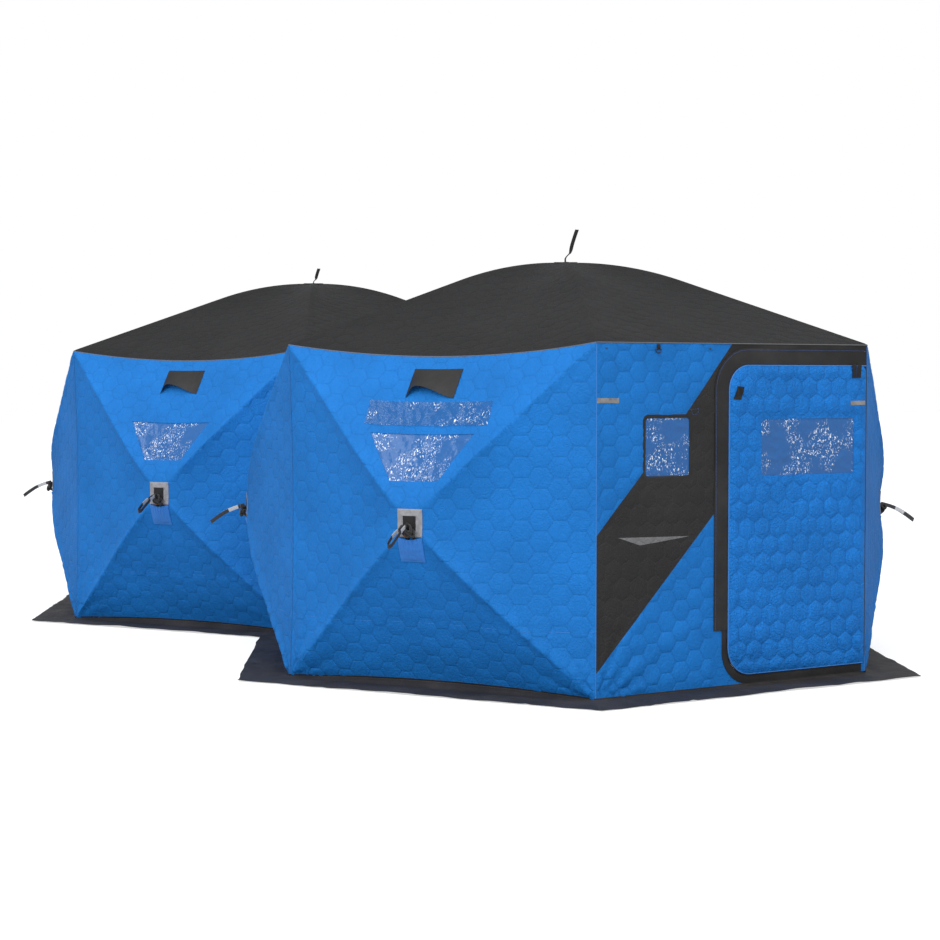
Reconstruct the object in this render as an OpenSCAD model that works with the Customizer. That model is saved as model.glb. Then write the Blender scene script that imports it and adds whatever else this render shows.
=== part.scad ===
// Twin-room pop-up ice fishing hut: two regular hexagonal rooms of quilted thermal
// fabric that share one open side. Each room has four walls held out by a centre hub
// and four bowed rods, one flat door wall, and a roof held up by a hub and six rods.
// Origin: the middle of the shared side, on the ground. +X points to the front door.

/* [Rooms] */
// Length of a side of each hexagonal room
side = 1830; // [1520:10:2200]
// Height of the eaves at the corners
eave_h = 1816; // [1510:1:2190]
// Height of the fabric at the roof's peak
peak_h = 2310; // [2270:5:2780]
// Height of the wall hubs
hub_h = 891; // [740:1:1070]
// How far a wall hub stands out of the flat of its wall
hub_out = 290; // [230:5:350]

/* [Fabric] */
// Thickness of the quilted fabric
fabric = 8; // [5:0.5:11]
// Droop of the eave at the middle of a hub wall
eave_sag = 68; // [40:1:85]
// Lift of the hem at the middle of a hub wall
hem_lift = 26; // [10:1:40]
// Inward bow of the seam between two hub walls
seam_bow = 22; // [10:1:40]
// Share of the rods' bulge that the fabric keeps between two rods
facet_keep = 0.4; // [0.3:0.05:0.7]
// Gap between pieces that meet along a seam
seam_gap = 0.5; // [0.3:0.1:0.8]

/* [Rods and hubs] */
// Diameter of the glass fibre rods
rod_d = 11; // [8:0.5:13]
// Room left between a rod and the fabric over it
rod_room = 5; // [4.5:0.5:8]
// Straight share of a wall rod, from its corner
wall_straight = 0.56; // [0.4:0.02:0.7]
// Straight share of a roof rod, from its corner
roof_straight = 0.60; // [0.4:0.01:0.7]
// Space between the fabric at a corner and the start of a rod, along its run
corner_room = 64; // [56:1:80]
// Radius of a wall hub
wall_hub_r = 36; // [32:1:38]
// Radius of a roof hub
roof_hub_r = 48; // [40:1:52]
// Clearance all round a rod in its hub socket
socket_gap = 0.4; // [0.3:0.05:0.6]
// Length of the moulded tip on each rod
tip_l = 14; // [8:1:18]
// Length of the ferrule where a rod's sections meet
ferrule_l = 64; // [40:2:90]

/* [Windows and vents] */
// Distance from a wall hub up to the window over it
win_rise = 215; // [170:1:260]
// Height of a wall window, straight up
win_h = 252; // [190:1:290]
// Width of a wall window along its upper edge
win_w = 612; // [500:2:720]
// Thickness of the clear window sheet
pane_t = 1.5; // [1:0.25:2.5]
// Distance from the eave's corners down to the vent opening
vent_drop = 144; // [130:1:180]
// Height of the vent opening
vent_h = 84; // [60:1:112]
// Width of the vent opening
vent_w = 190; // [150:2:200]
// Width of the vent's hood
hood_w = 286; // [260:2:300]
// How far the hood's propped crest stands off the wall
hood_out = 52; // [30:1:70]
// Thickness of light cloth pieces
cloth = 2.5; // [1.5:0.25:3]

/* [Door wall] */
// Free edge of the door, from the middle of its wall
door_free = -65; // [-90:1:-40]
// Hinge line of the door, from the middle of its wall
door_hinge = 900; // [740:1:1085]
// Bottom of the door
door_low = 62; // [45:1:80]
// Top of the door
door_top = 1700; // [1440:1:1740]
// How far the door laps over the edge of its doorway
door_lap = 25; // [15:1:35]
// Space between the wall and the closed door
door_gap = 5; // [5:0.5:7]
// Width of the black flap beside and over the door
flap_w = 86; // [60:1:90]
// Height where the side flap ends
flap_end = 303; // [220:1:400]
// Width of the narrow binding below the flap
bind_w = 30; // [20:1:32]
// Door window: left edge, right edge, bottom and top
door_win = [153, 810, 1115, 1415];
// Side window: left edge, right edge, bottom and top
side_win = [-610, -318, 1125, 1432];

/* [Skirt] */
// Reach of the ground skirt beyond the walls
skirt_w = 280; // [200:5:340]
// Thickness of the skirt
skirt_t = 3; // [2:0.25:4]
// Height the skirt laps up the wall
skirt_lap = 14; // [8:1:20]

/* [Hub patch, pocket and straps] */
// Width of the reinforcing patch over a wall hub
patch_w = 145; // [120:1:150]
// Width of the rope pocket below a patch
pocket_w = 145; // [110:1:160]
// Height of the rope pocket
pocket_h = 146; // [110:1:170]
// Width of the pull strap's webbing
web_w = 24; // [18:1:30]
// Length of a wall hub's pull strap
pull_l = 225; // [160:5:260]
// How far a pull strap droops below level, in degrees
pull_droop = 24; // [0:1:60]
// Height of the strap that stands on a roof hub
roof_loop_h = 195; // [140:5:230]

/* [Hidden] */

R3 = sqrt(3) / 2;
ap = side * R3;              // centre of a room to the flat of a wall
door_x = 2 * ap;             // outside face of the front door wall
k = fabric / ap;             // inner surfaces are the outer ones drawn in by this share
top_up = eave_h - hub_h;     // hub to eave
eave_in = 0.9 * eave_sag;    // the drooping eave is drawn in as well
hem_in = hem_lift;
sg = seam_gap / 2;

function clamp01(x) = min(1, max(0, x));
// A rod's rise against its run: straight, then an arc that is level at the hub.
// q is rise over run, s the straight share. half_t gives tan of half the rod's slope.
function half_t(q, s, t = 0, n = 0) =
    n > 8 ? t : half_t(q, s, q / (2 * s / (1 - t * t) + 1 - s), n + 1);
function slope(q, s) = 2 * atan(half_t(q, s));
function arc_r(q, s) = (1 - s) / sin(slope(q, s));
function rise(t, q, s) = let (r = arc_r(q, s))
    t < s ? t * tan(slope(q, s)) / q : 1 - (r - sqrt(r * r - pow(1 - t, 2))) / q;

rod_top_l = norm([side / 2, top_up]);   // run of a wall rod to an eave corner
rod_low_l = norm([side / 2, hub_h]);    // run of a wall rod to a ground corner
q_top = hub_out / rod_top_l;
q_low = hub_out / rod_low_l;
// the fabric's steepness follows the rods on either side of it
function wall_q(e, w) = e == 0 ? q_top : e == 2 ? q_low
    : q_low + (q_top - q_low) * (1 + w) / 2;
roof_q = (peak_h - eave_h) / side;
rod_off = fabric + rod_d / 2 + rod_room;
rod_start = corner_room + fabric;

// The fabric between the rods is drawn in, but lies level on the hub itself.
function bulge(t, w, q, s) = let (b = rise(t, q, s) - t)
    t + b * (1 - (1 - facet_keep) * (1 - w * w) * clamp01((1 - t) / 0.25));

// Hub walls, in the wall's own frame: x out of the wall, y along it, z up.
// e is the edge that a facet runs to: 0 eave, 1 right, 2 hem, 3 left. w runs from -1
// to 1 along that edge and a from 0 at the hub to 1 at the edge. bow holds the seam
// bows of the right and left edges, and end their mitres: 1 convex, -1 concave.
function wall_pt(e, w, a, bow) =
    let (t = 1 - a, q = 1 - w * w,
         ey = e == 1 ? side / 2 : e == 3 ? -side / 2 : w * side / 2,
         ez = e == 0 ? eave_h : e == 2 ? 0 : eave_h * (1 + w) / 2,
         b = e == 1 ? bow[0] : e == 3 ? bow[1] : 0,
         dy = (e == 1 ? -1 : e == 3 ? 1 : 0) * b / 2 * q,
         dx = -(e == 0 ? eave_in : e == 2 ? hem_in : R3 * b) * q,
         dz = (e == 0 ? -eave_sag : e == 2 ? hem_lift : 0) * q)
    [hub_out * bulge(t, w, wall_q(e, w), wall_straight) + dx * a * a,
     ey * a + dy * a * a, hub_h + (ez - hub_h) * a + dz * a * a];
// The inner surface is straight behind the outer one, and mitred near the edges.
function wall_in(p, e, w, a, end, f = fabric) = let (m = pow(a, 20))
    [p[0] - f * (1 + m * p[0] / ap),
     p[1] * (1 - m * (p[1] > 0 ? end[0] : end[1]) * f / ap),
     p[2] - f * m * (e == 0 ? 1 : e == 2 ? 0 : pow(max(0, w), 4))];
function drawn(p) = [p[0], p[1] * (1 - 2 * sg / side), p[2]];

a_of_z = function (z) (z - hub_h) / top_up;
aw0 = a_of_z(hub_h + win_rise);
aw1 = a_of_z(hub_h + win_rise + win_h);
// the drooping eave moves a vent's edges down, so its shares allow for that
function a_vent(z) = let (r = a_of_z(z)) r + eave_sag / top_up * r * r;
vent_top = eave_h - vent_drop;
vent_low = vent_top - vent_h;
av0 = a_vent(vent_low);
av1 = a_vent(vent_top);
ah0 = a_vent(vent_low - 56);
ah1 = a_vent(vent_top + 14);
ap0 = patch_w / side;
ww = win_w / side / aw1;
vw = vent_w / side / ((av0 + av1) / 2);
hw = hood_w / side / ah1;

wm = (vw + ww) / 2;
tw = [-1, -(1 + ww) / 2, -ww, -wm, -vw, vw, wm, ww, (1 + ww) / 2, 1];
sw = [for (i = [0:8]) -1 + i / 4];
ring_a = [0, ap0, (ap0 + aw0) / 2, aw0, (aw0 + aw1) / 2, aw1, (aw1 + av0) / 2, av0, av1, 1];
rim = concat([for (i = [0:8]) [0, tw[i]]], [for (i = [8:-1:1]) [1, sw[i]]],
             [for (i = [8:-1:1]) [2, sw[i]]], [for (i = [0:7]) [3, sw[i]]]);

// A sheet made of rings about one middle point. out and inn hold the outer and the
// inner points: the middle, then each ring. holes lists [ring, spoke] cells left out.
module ring_sheet(out, inn, nb, nr, hole_rings, hole_spokes) {
    no = 1 + nb * nr;
    function id(i, j) = i == 0 ? 0 : 1 + (i - 1) * nb + j % nb;
    function gone(i, j) = len([for (h = [0:1:len(hole_rings) - 1])
        if (i >= hole_rings[h][0] && i < hole_rings[h][1]
            && j >= hole_spokes[h][0] && j < hole_spokes[h][1]) 1]) > 0;
    cells = [for (i = [0:nr - 1]) for (j = [0:nb - 1]) if (!gone(i, j)) [i, j]];
    bare = [for (i = [0:nr - 1]) for (j = [0:nb - 1]) if (gone(i, j)) [i, j]];
    face = [for (c = cells) let (i = c[0], j = c[1])
        each i == 0 ? [[id(1, j), id(1, j + 1), 0]]
            : [[id(i + 1, j), id(i + 1, j + 1), id(i, j + 1)],
               [id(i + 1, j), id(i, j + 1), id(i, j)]]];
    back = [for (f = face) [f[2] + no, f[1] + no, f[0] + no]];
    function band(p, q) = [[p, q, q + no], [p, q + no, p + no]];
    hem = [for (j = [0:nb - 1]) each band(id(nr, j + 1), id(nr, j))];
    cut = [for (c = bare) let (i = c[0], j = c[1]) each concat(
        gone(i, j - 1) ? [] : band(id(i, j), id(i + 1, j)),
        gone(i, j + 1) ? [] : band(id(i + 1, j + 1), id(i, j + 1)),
        gone(i - 1, j) ? [] : band(id(i, j + 1), id(i, j)),
        gone(i + 1, j) ? [] : band(id(i + 1, j), id(i + 1, j + 1)))];
    polyhedron(points = concat(out, inn), faces = concat(face, back, hem, cut));
}

// A sheet made of a plain grid of rows, with its outer points and its inner points.
module grid_sheet(out, inn) {
    nr = len(out);
    nc = len(out[0]);
    no = nr * nc;
    function id(i, j) = i * nc + j;
    face = [for (i = [0:nr - 2]) for (j = [0:nc - 2])
        each [[id(i, j), id(i, j + 1), id(i + 1, j + 1)],
              [id(i, j), id(i + 1, j + 1), id(i + 1, j)]]];
    back = [for (f = face) [f[2] + no, f[1] + no, f[0] + no]];
    function band(p, q) = [[p, q, q + no], [p, q + no, p + no]];
    edges = concat([for (j = [0:nc - 2]) each band(id(0, j + 1), id(0, j))],
        [for (j = [0:nc - 2]) each band(id(nr - 1, j), id(nr - 1, j + 1))],
        [for (i = [0:nr - 2]) each band(id(i, 0), id(i + 1, 0))],
        [for (i = [0:nr - 2]) each band(id(i + 1, nc - 1), id(i, nc - 1))]);
    polyhedron(points = concat([for (r = out) each r], [for (r = inn) each r]),
        faces = concat(face, back, edges));
}

// Places its children in a room's frame, or in the frame of one of the room's walls.
module room(rear) rotate([0, 0, rear ? 180 : 0]) translate([ap, 0, 0]) children();
module on_wall(turn) rotate([0, 0, turn]) translate([ap, 0, 0]) children();

// The four hub walls of a room: turn, seam bows and mitres of the right and left
// edges, and whether the wall has a vent.
HUB_WALLS = [[-60, [0, 1], [1, 1], true], [-120, [1, 0], [1, -1], false],
             [120, [0, 1], [-1, 1], true], [60, [1, 0], [1, 1], false]];

module hub_wall(n) {
    wl = HUB_WALLS[n];
    bow = seam_bow * wl[1];
    nb = len(rim);
    nr = len(ring_a) - 1;
    spots = concat([[0, 0, 0]], [for (i = [1:nr]) for (b = rim) [b[0], b[1], ring_a[i]]]);
    out = [for (s = spots) wall_pt(s[0], s[1], s[2], bow)];
    inn = [for (i = [0:len(spots) - 1]) let (s = spots[i])
        drawn(wall_in(out[i], s[0], s[1], s[2], wl[2]))];
    on_wall(wl[0]) ring_sheet([for (p = out) drawn(p)], inn, nb, nr,
        wl[3] ? [[3, 5], [7, 8]] : [[3, 5]], wl[3] ? [[2, 7], [4, 5]] : [[2, 7]]);
}

// A sheet set into an opening of a hub wall, level with the middle of the fabric.
module pane(w0, w1, a0, a1, t, rows) {
    g = 0.5;
    cols = [for (w = [w0, -wm, -vw, vw, wm, w1]) if (w >= w0 && w <= w1) w];
    as = [for (i = [0:rows]) a1 - g / top_up + (a0 - a1 + 2 * g / top_up) * i / rows];
    function at(w, a, f) = let (v = w + (w == w0 ? 1 : w == w1 ? -1 : 0) * g * 2 / side / a,
        p = wall_pt(0, v, a, [0, 0])) wall_in(p, 0, v, a, [1, 1], f);
    f0 = (fabric - t) / 2;
    grid_sheet([for (a = as) [for (w = cols) at(w, a, f0)]],
               [for (a = as) [for (w = cols) at(w, a, f0 + t)]]);
}

module window_panes(rear) color([0.62, 0.74, 0.86, 0.45]) room(rear)
    for (wl = HUB_WALLS) on_wall(wl[0]) pane(-ww, ww, aw0, aw1, pane_t, 2);

module vent_screens() color("black") for (rear = [false, true]) room(rear)
    for (wl = HUB_WALLS) if (wl[3]) on_wall(wl[0]) pane(-vw, vw, av0, av1, pane_t, 1);

// The vent's hood: cloth sewn along its top and sides, propped off the wall near one
// side, so that its lower edge arches over the opening.
module vent_hoods() color([0.16, 0.16, 0.16]) for (rear = [false, true]) room(rear)
    for (wl = HUB_WALLS) if (wl[3]) on_wall(wl[0]) hood();
module hood() {
    n = 10;
    m = 5;
    lift = 1.6;
    function crest(x) = x < 0.25 ? pow(sin(360 * x), 1) : pow(cos((x - 0.25) * 120), 1.6);
    function at(x, y, f) = let (
        a = ah1 + (ah0 - ah1) * y * (1 - 0.42 * y * crest(x)),
        w = hw * (2 * x - 1), p = wall_pt(0, w, a, [0, 0]))
        [p[0] + lift + f + hood_out * pow(y, 0.8) * crest(x), p[1], p[2]];
    grid_sheet([for (i = [0:m]) [for (j = [0:n]) at(j / n, i / m, cloth)]],
               [for (i = [0:m]) [for (j = [0:n]) at(j / n, i / m, 0)]]);
}

// Roof: six facets from the peak down to the eaves. The shared side and the door
// wall keep a straight eave, and the four hub walls a drooping one.
ROOF_SAG = [0, 1, 1, 0, 1, 1];   // facets that face 0, 60, 120, 180, 240, 300 degrees
roof_a = [0, 0.04, 0.14, 0.25, 0.36, 0.47, 0.64, 0.82, 1];
function roof_pt(f, w, a) =
    let (q = ROOF_SAG[f] * (1 - w * w), n = [cos(60 * f), sin(60 * f)], u = [-n[1], n[0]],
         g = a * (ap - (f == 3 ? sg : 0)) - eave_in * q * a * a,
         p = g * n + a * w * side / 2 * u)
    [p[0], p[1], eave_h - eave_sag * q * a * a
        + (peak_h - eave_h) * bulge(1 - a, w, roof_q, roof_straight)];
module roof(rear) color([0.25, 0.25, 0.25]) room(rear) {
    // the rim runs clockwise as seen from above
    spokes = [for (f = [5:-1:0]) for (i = [9:-1:1]) [f, tw[i]]];
    nb = len(spokes);
    nr = len(roof_a) - 1;
    out = concat([[0, 0, peak_h]],
        [for (i = [1:nr]) for (s = spokes) roof_pt(s[0], s[1], roof_a[i])]);
    inn = [for (p = out) [p[0] * (1 - k), p[1] * (1 - k), p[2] - fabric]];
    translate([0, 0, seam_gap]) ring_sheet(out, inn, nb, nr, [], []);
}

// A rod in the x-z plane, from its corner at the origin towards its hub over a run l
// with a total rise h. Its last end stops short of the hub's middle.
module rod(l, h, s, stop) {
    q = h / l;
    phi = slope(q, s);
    r = arc_r(q, s) * l;
    last = asin(stop / r);
    translate([rod_start, 0, rod_start * tan(phi)]) rotate([0, 90 - phi, 0])
        cylinder(d = rod_d, h = (s * l - rod_start) / cos(phi), $fn = 24);
    translate([l, 0, h - r]) rotate([90, 0, 0]) rotate([0, 0, 90 + last])
        rotate_extrude(angle = phi - last, $fn = 96) translate([r, 0]) circle(d = rod_d, $fn = 24);
    // the ferrule sits over the joint between the straight and the bowed section
    translate([s * l, 0, s * l * tan(phi)]) rotate([0, 90 - phi, 0])
        translate([0, 0, -ferrule_l / 2]) cylinder(d = rod_d + 2, h = ferrule_l, $fn = 24);
}
module rod_tip(l, h, s) {
    phi = slope(h / l, s);
    translate([rod_start, 0, rod_start * tan(phi)]) rotate([0, 90 - phi, 0])
        translate([0, 0, -tip_l - 0.3]) cylinder(d = rod_d, h = tip_l, $fn = 24);
}
// Places a rod of a hub wall: from each corner of the wall towards the hub.
module wall_rod_frames() for (y = [-1, 1]) for (up = [0, 1]) {
    rise_z = hub_h - up * eave_h;
    l = up ? rod_top_l : rod_low_l;
    translate([-rod_off, y * side / 2, up * eave_h])
        rotate([atan2(-y * side / 2, -rise_z), 0, 0]) rotate([0, 90, 0]) {
            $l = l;
            children();
        }
}
module wall_rods(rear) color([0.12, 0.12, 0.12]) room(rear) for (wl = HUB_WALLS)
    on_wall(wl[0]) wall_rod_frames() rod($l, hub_out, wall_straight, 12);
module roof_rods(rear) color([0.12, 0.12, 0.12]) room(rear) for (f = [0:5])
    rotate([0, 0, 60 * f + 30]) translate([side, 0, eave_h - rod_off]) mirror([1, 0, 0])
        rod(side, peak_h - eave_h, roof_straight, 21);
module rod_tips() color([0.1, 0.1, 0.1]) for (rear = [false, true]) room(rear) {
    for (wl = HUB_WALLS) on_wall(wl[0]) wall_rod_frames() rod_tip($l, hub_out, wall_straight);
    for (f = [0:5]) rotate([0, 0, 60 * f + 30])
        translate([side, 0, eave_h - rod_off]) mirror([1, 0, 0])
            rod_tip(side, peak_h - eave_h, roof_straight);
}

// A moulded hub with a blind socket for each rod. Its axis is z and its rods lie at z 0.
module hub(r, turns, first) difference() {
    translate([0, 0, -13]) cylinder(r = r, h = 13 + rod_d / 2 + 1.4, $fn = 48);
    for (t = turns) rotate([0, 0, t]) translate([first, 0, 0]) rotate([0, 90, 0])
        cylinder(d = rod_d + 2 * socket_gap, h = r, $fn = 24);
}
corner_t = atan2(top_up, side / 2);
corner_b = atan2(hub_h, side / 2);
module wall_hubs(rear) color([0.1, 0.1, 0.1]) room(rear) for (wl = HUB_WALLS)
    on_wall(wl[0]) translate([hub_out - rod_off, 0, hub_h]) rotate([0, 0, 90])
        rotate([90, 0, 0]) hub(wall_hub_r, [corner_t, 180 - corner_t,
            180 + corner_b, -corner_b], 11.5);
module roof_hubs() color([0.1, 0.1, 0.1]) for (rear = [false, true]) room(rear)
    translate([0, 0, peak_h + seam_gap - rod_off - seam_gap])
        hub(roof_hub_r, [for (f = [0:5]) 60 * f + 30], 20.5);

// Outside each wall hub: a reinforcing patch, a small plate and a pull strap, and a
// rope pocket under them.
module hub_patches() color([0.72, 0.74, 0.78]) for (rear = [false, true]) room(rear)
    for (wl = HUB_WALLS) on_wall(wl[0]) {
        nb = len(rim);
        spots = concat([[0, 0, 0]], [for (a = [ap0 / 2, ap0]) for (b = rim) [b[0], b[1], a]]);
        base = [for (s = spots) let (p = wall_pt(s[0], s[1], s[2], [0, 0]),
            // the wall itself is flat between its hub and its first ring
            e = wall_pt(s[0], s[1], ap0, [0, 0])) [hub_out + (e[0] - hub_out) * s[2] / ap0,
            p[1], p[2]]];
        ring_sheet([for (p = base) p + [0.4 + cloth, 0, 0]],
                   [for (p = base) p + [0.4, 0, 0]], nb, 2, [], []);
    }
plate_w = 0.52 * patch_w;
module hub_plates() color([0.13, 0.13, 0.13]) for (rear = [false, true]) room(rear)
    for (wl = HUB_WALLS) on_wall(wl[0])
        translate([hub_out + 0.4 + cloth + 0.3, -plate_w / 2, hub_h - plate_w / 2])
            cube([3, plate_w, plate_w]);

// A loop of webbing of length l whose two ends are sewn together at the origin. Its
// outline is a drop along x, r wide either side, and the webbing's width is along z.
module web_loop(l, r, t) {
    function drop(r1) = let (x = l - r, x0 = x * (1 - r1 / r), b = 180 - acos(r / x))
        concat([[x0, 0]], [for (i = [-8:8]) [x + r1 * cos(b * i / 8), r1 * sin(b * i / 8)]]);
    linear_extrude(web_w) difference() {
        polygon(drop(r));
        polygon(drop(r - t));
    }
}
module pull_straps() color([0.2, 0.2, 0.2]) for (rear = [false, true]) room(rear)
    for (wl = HUB_WALLS) on_wall(wl[0])
        translate([hub_out + 0.4 + cloth + 3.6 + web_w / 2 * sin(pull_droop), 0, hub_h - 6])
            rotate([0, pull_droop, 0]) translate([0, 0, -web_w / 2]) web_loop(pull_l, 16, 2.5);
module roof_straps() color([0.2, 0.2, 0.2]) for (rear = [false, true]) room(rear)
    translate([-web_w / 2, 0, peak_h + seam_gap + 0.4]) rotate([90, 0, 90]) rotate([0, 0, 90])
        web_loop(roof_loop_h, 26, 2.5);

// The rope pocket, a gathered pouch on the lower facet just below the patch.
module rope_pockets() color([0.2, 0.47, 0.76]) for (rear = [false, true]) room(rear)
    for (wl = HUB_WALLS) on_wall(wl[0]) pocket();
module pocket() {
    n = 8;
    m = 6;
    z0 = hub_h * (1 - ap0) - 4;
    function at(x, y, f) = let (z = z0 - y * pocket_h, a = (hub_h - z) / hub_h,
        u = pocket_w * (x - 0.5), w = u / (a * side / 2), p = wall_pt(2, w, a, [0, 0]),
        puff = 24 * pow(sin(180 * x), 0.7) * (1 - 0.75 * y * y) * (1 - 0.25 * (1 - y)))
        [p[0] + 1.5 + f + puff * (y > 0.99 ? 0 : 1), p[1], p[2]];
    grid_sheet([for (i = [0:m]) [for (j = [0:n]) at(j / n, i / m, cloth)]],
               [for (i = [0:m]) [for (j = [0:n]) at(j / n, i / m, 0)]]);
}

// Door wall, in the room's wall frame: x 0 is its outside face.
// A profile of the wall from the ground to the mitred eave, run from y0 to y1 and
// mitred where it meets a corner of the room.
module wall_strip(y0, y1, z0, z1) intersection() {
    translate([0, y1, 0]) rotate([90, 0, 0]) linear_extrude(y1 - y0)
        polygon([[0, 0], [0, eave_h], [-fabric, eave_h - fabric], [-fabric, 0]]);
    linear_extrude(eave_h + 1) polygon([[1, sg - side / 2 - 1 * tan(30)],
        [-fabric - 1, sg - side / 2 + (fabric + 1) * tan(30)],
        [-fabric - 1, side / 2 - sg - (fabric + 1) * tan(30)],
        [1, side / 2 - sg + 1 * tan(30)]]);
    translate([-fabric - 1, y0, z0]) cube([fabric + 2, y1 - y0, z1 - z0]);
}
// A sheet of thickness t standing at x0, with rounded corners: low left, low right,
// top right, top left.
module sheet(x0, t, y0, y1, z0, z1, r) translate([x0, 0, 0]) rotate([90, 0, 90])
    linear_extrude(t) rounded(y0, y1, z0, z1, r);
module rounded(y0, y1, z0, z1, r) {
    c = [[y0, z0, 1, 1], [y1, z0, -1, 1], [y1, z1, -1, -1], [y0, z1, 1, -1]];
    difference() {
        translate([y0, z0]) square([y1 - y0, z1 - z0]);
        for (i = [0:3]) if (r[i] > 0)
            translate([c[i][0] + min(0, c[i][2]) * r[i], c[i][1] + min(0, c[i][3]) * r[i]])
                difference() {
                    translate([c[i][2] > 0 ? -1 : 0, c[i][3] > 0 ? -1 : 0])
                        square([r[i] + 1, r[i] + 1]);
                    translate([c[i][2] > 0 ? r[i] : 0, c[i][3] > 0 ? r[i] : 0])
                        circle(r = r[i], $fn = 64);
                }
    }
}
way = [door_free + door_lap, door_hinge - door_lap, door_low + door_lap, door_top - door_lap];
door_r = [150, 40, 40, 130];
module door_wall_side(rear) color([0.2, 0.49, 0.8]) room(rear) on_wall(0) difference() {
    wall_strip(-side / 2, way[0] - sg, 0, eave_h);
    sheet(-fabric - 1, fabric + 2, side_win[0], side_win[1], side_win[2], side_win[3],
        [20, 20, 20, 20]);
}
module door_wall_header(rear) color([0.2, 0.49, 0.8]) room(rear) on_wall(0)
    wall_strip(way[0] + sg, way[1] - sg, way[3], eave_h);
module door_wall_hinge_strip(rear) color([0.2, 0.49, 0.8]) room(rear) on_wall(0)
    wall_strip(way[1] + sg, side / 2, 0, eave_h);
module door_wall_sill(rear) color([0.2, 0.49, 0.8]) room(rear) on_wall(0)
    wall_strip(way[0] + sg, way[1] - sg, 0, way[2]);
module side_windows() color([0.62, 0.74, 0.86, 0.45]) for (rear = [false, true]) room(rear)
    on_wall(0) sheet(-(fabric + pane_t) / 2, pane_t, side_win[0] + 0.5, side_win[1] - 0.5,
        side_win[2] + 0.5, side_win[3] - 0.5, [19.5, 19.5, 19.5, 19.5]);

// The door: a quilted sheet whose hinged edge is a round bead on the hinge line.
module door_panel(rear) color([0.2, 0.49, 0.8]) room(rear) on_wall(0) {
    difference() {
        union() {
            sheet(door_gap, fabric, door_free, door_hinge, door_low, door_top,
                [door_r[0], door_r[1], door_r[2], door_r[3]]);
            translate([door_gap + fabric / 2, door_hinge, door_low + door_r[1]])
                cylinder(d = fabric, h = door_top - door_low - door_r[1] - door_r[2], $fn = 32);
        }
        sheet(door_gap - 1, fabric + 2, door_win[0], door_win[1], door_win[2], door_win[3],
            [20, 20, 20, 20]);
    }
}
module door_window(rear) color([0.62, 0.74, 0.86, 0.45]) room(rear) on_wall(0)
    sheet(door_gap + (fabric - pane_t) / 2, pane_t, door_win[0] + 0.5, door_win[1] - 0.5,
        door_win[2] + 0.5, door_win[3] - 0.5, [19.5, 19.5, 19.5, 19.5]);
// The strip on the wall that the bead turns on.
module hinge_tape(rear) color([0.16, 0.16, 0.16]) room(rear) on_wall(0)
    translate([0.3, door_hinge - 9, door_low + door_r[1]])
        cube([door_gap - 0.6, 20, door_top - door_low - door_r[1] - door_r[2]]);
// The black flap beside and over the door, and the narrow binding round its foot.
module door_flap(rear) color([0.16, 0.16, 0.16]) room(rear) on_wall(0) {
    g = 5;
    y0 = door_free - g;
    z1 = min(door_top + g + 0.85 * flap_w, eave_h - 30);
    difference() {
        union() {
            sheet(0.4, 3, y0 - flap_w, door_hinge, flap_end, z1, [8, 0, 8, door_r[3] + 60]);
            sheet(0.4, 3, y0 - bind_w, door_hinge - 60, door_low - g - bind_w, flap_end + 60,
                [door_r[0] + bind_w, 8, 0, 0]);
        }
        sheet(-1, 6, y0, door_hinge + 90, door_low - g, door_top + g,
            [door_r[0] + g, 0, 0, door_r[3] + g]);
    }
}

// Ground skirt: one flap along each outer side, sewn to the foot of the wall, coming
// down to the ground and lying flat on it. The flaps are mitred at the corners.
module skirt(rear) color([0.18, 0.18, 0.18]) room(rear) {
    for (wl = HUB_WALLS) on_wall(wl[0]) flap(hem_in, hem_lift, wl[2]);
    on_wall(0) flap(0, 0, [1, 1]);
}
module flap(inw, lift, end) {
    ws = [for (i = [0:8]) -1 + i / 4];
    function across(w, x) = w * (side / 2 - sg + (w > 0 ? end[0] : end[1]) * x * tan(30));
    // the wall leans out above its hem, so the lap that is sewn to it does too
    function lean(w) = lift == 0 ? 0
        : wall_pt(2, w, 1 - skirt_lap / hub_h, [0, 0])[0] - wall_pt(2, w, 1, [0, 0])[0];
    // upper and lower profiles from the top of the lap out to the skirt's edge
    function upper(w) = let (q = 1 - w * w, z = lift * q, x = -inw * q + 1.5)
        [[x + lean(w) + skirt_t, z + skirt_lap], [x + skirt_t, z + skirt_t + 2],
         [x + 45 + z, skirt_t], [skirt_w, skirt_t]];
    function lower(w) = let (q = 1 - w * w, z = lift * q, x = -inw * q + 1.5)
        [[x + lean(w), z + skirt_lap], [x, z], [x + 42 + z, 0], [skirt_w, 0]];
    grid_sheet([for (i = [0:3]) [for (w = ws) let (p = upper(w)[i]) [p[0], across(w, p[0]), p[1]]]],
               [for (i = [0:3]) [for (w = ws) let (p = lower(w)[i]) [p[0], across(w, p[0]), p[1]]]]);
}

// A strap under the valley where the two roofs meet.
module valley_strap() color([0.16, 0.16, 0.16])
    translate([-25, 16 - side / 2, eave_h - fabric - 2.6]) cube([50, side - 32, 2.5]);

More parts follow.
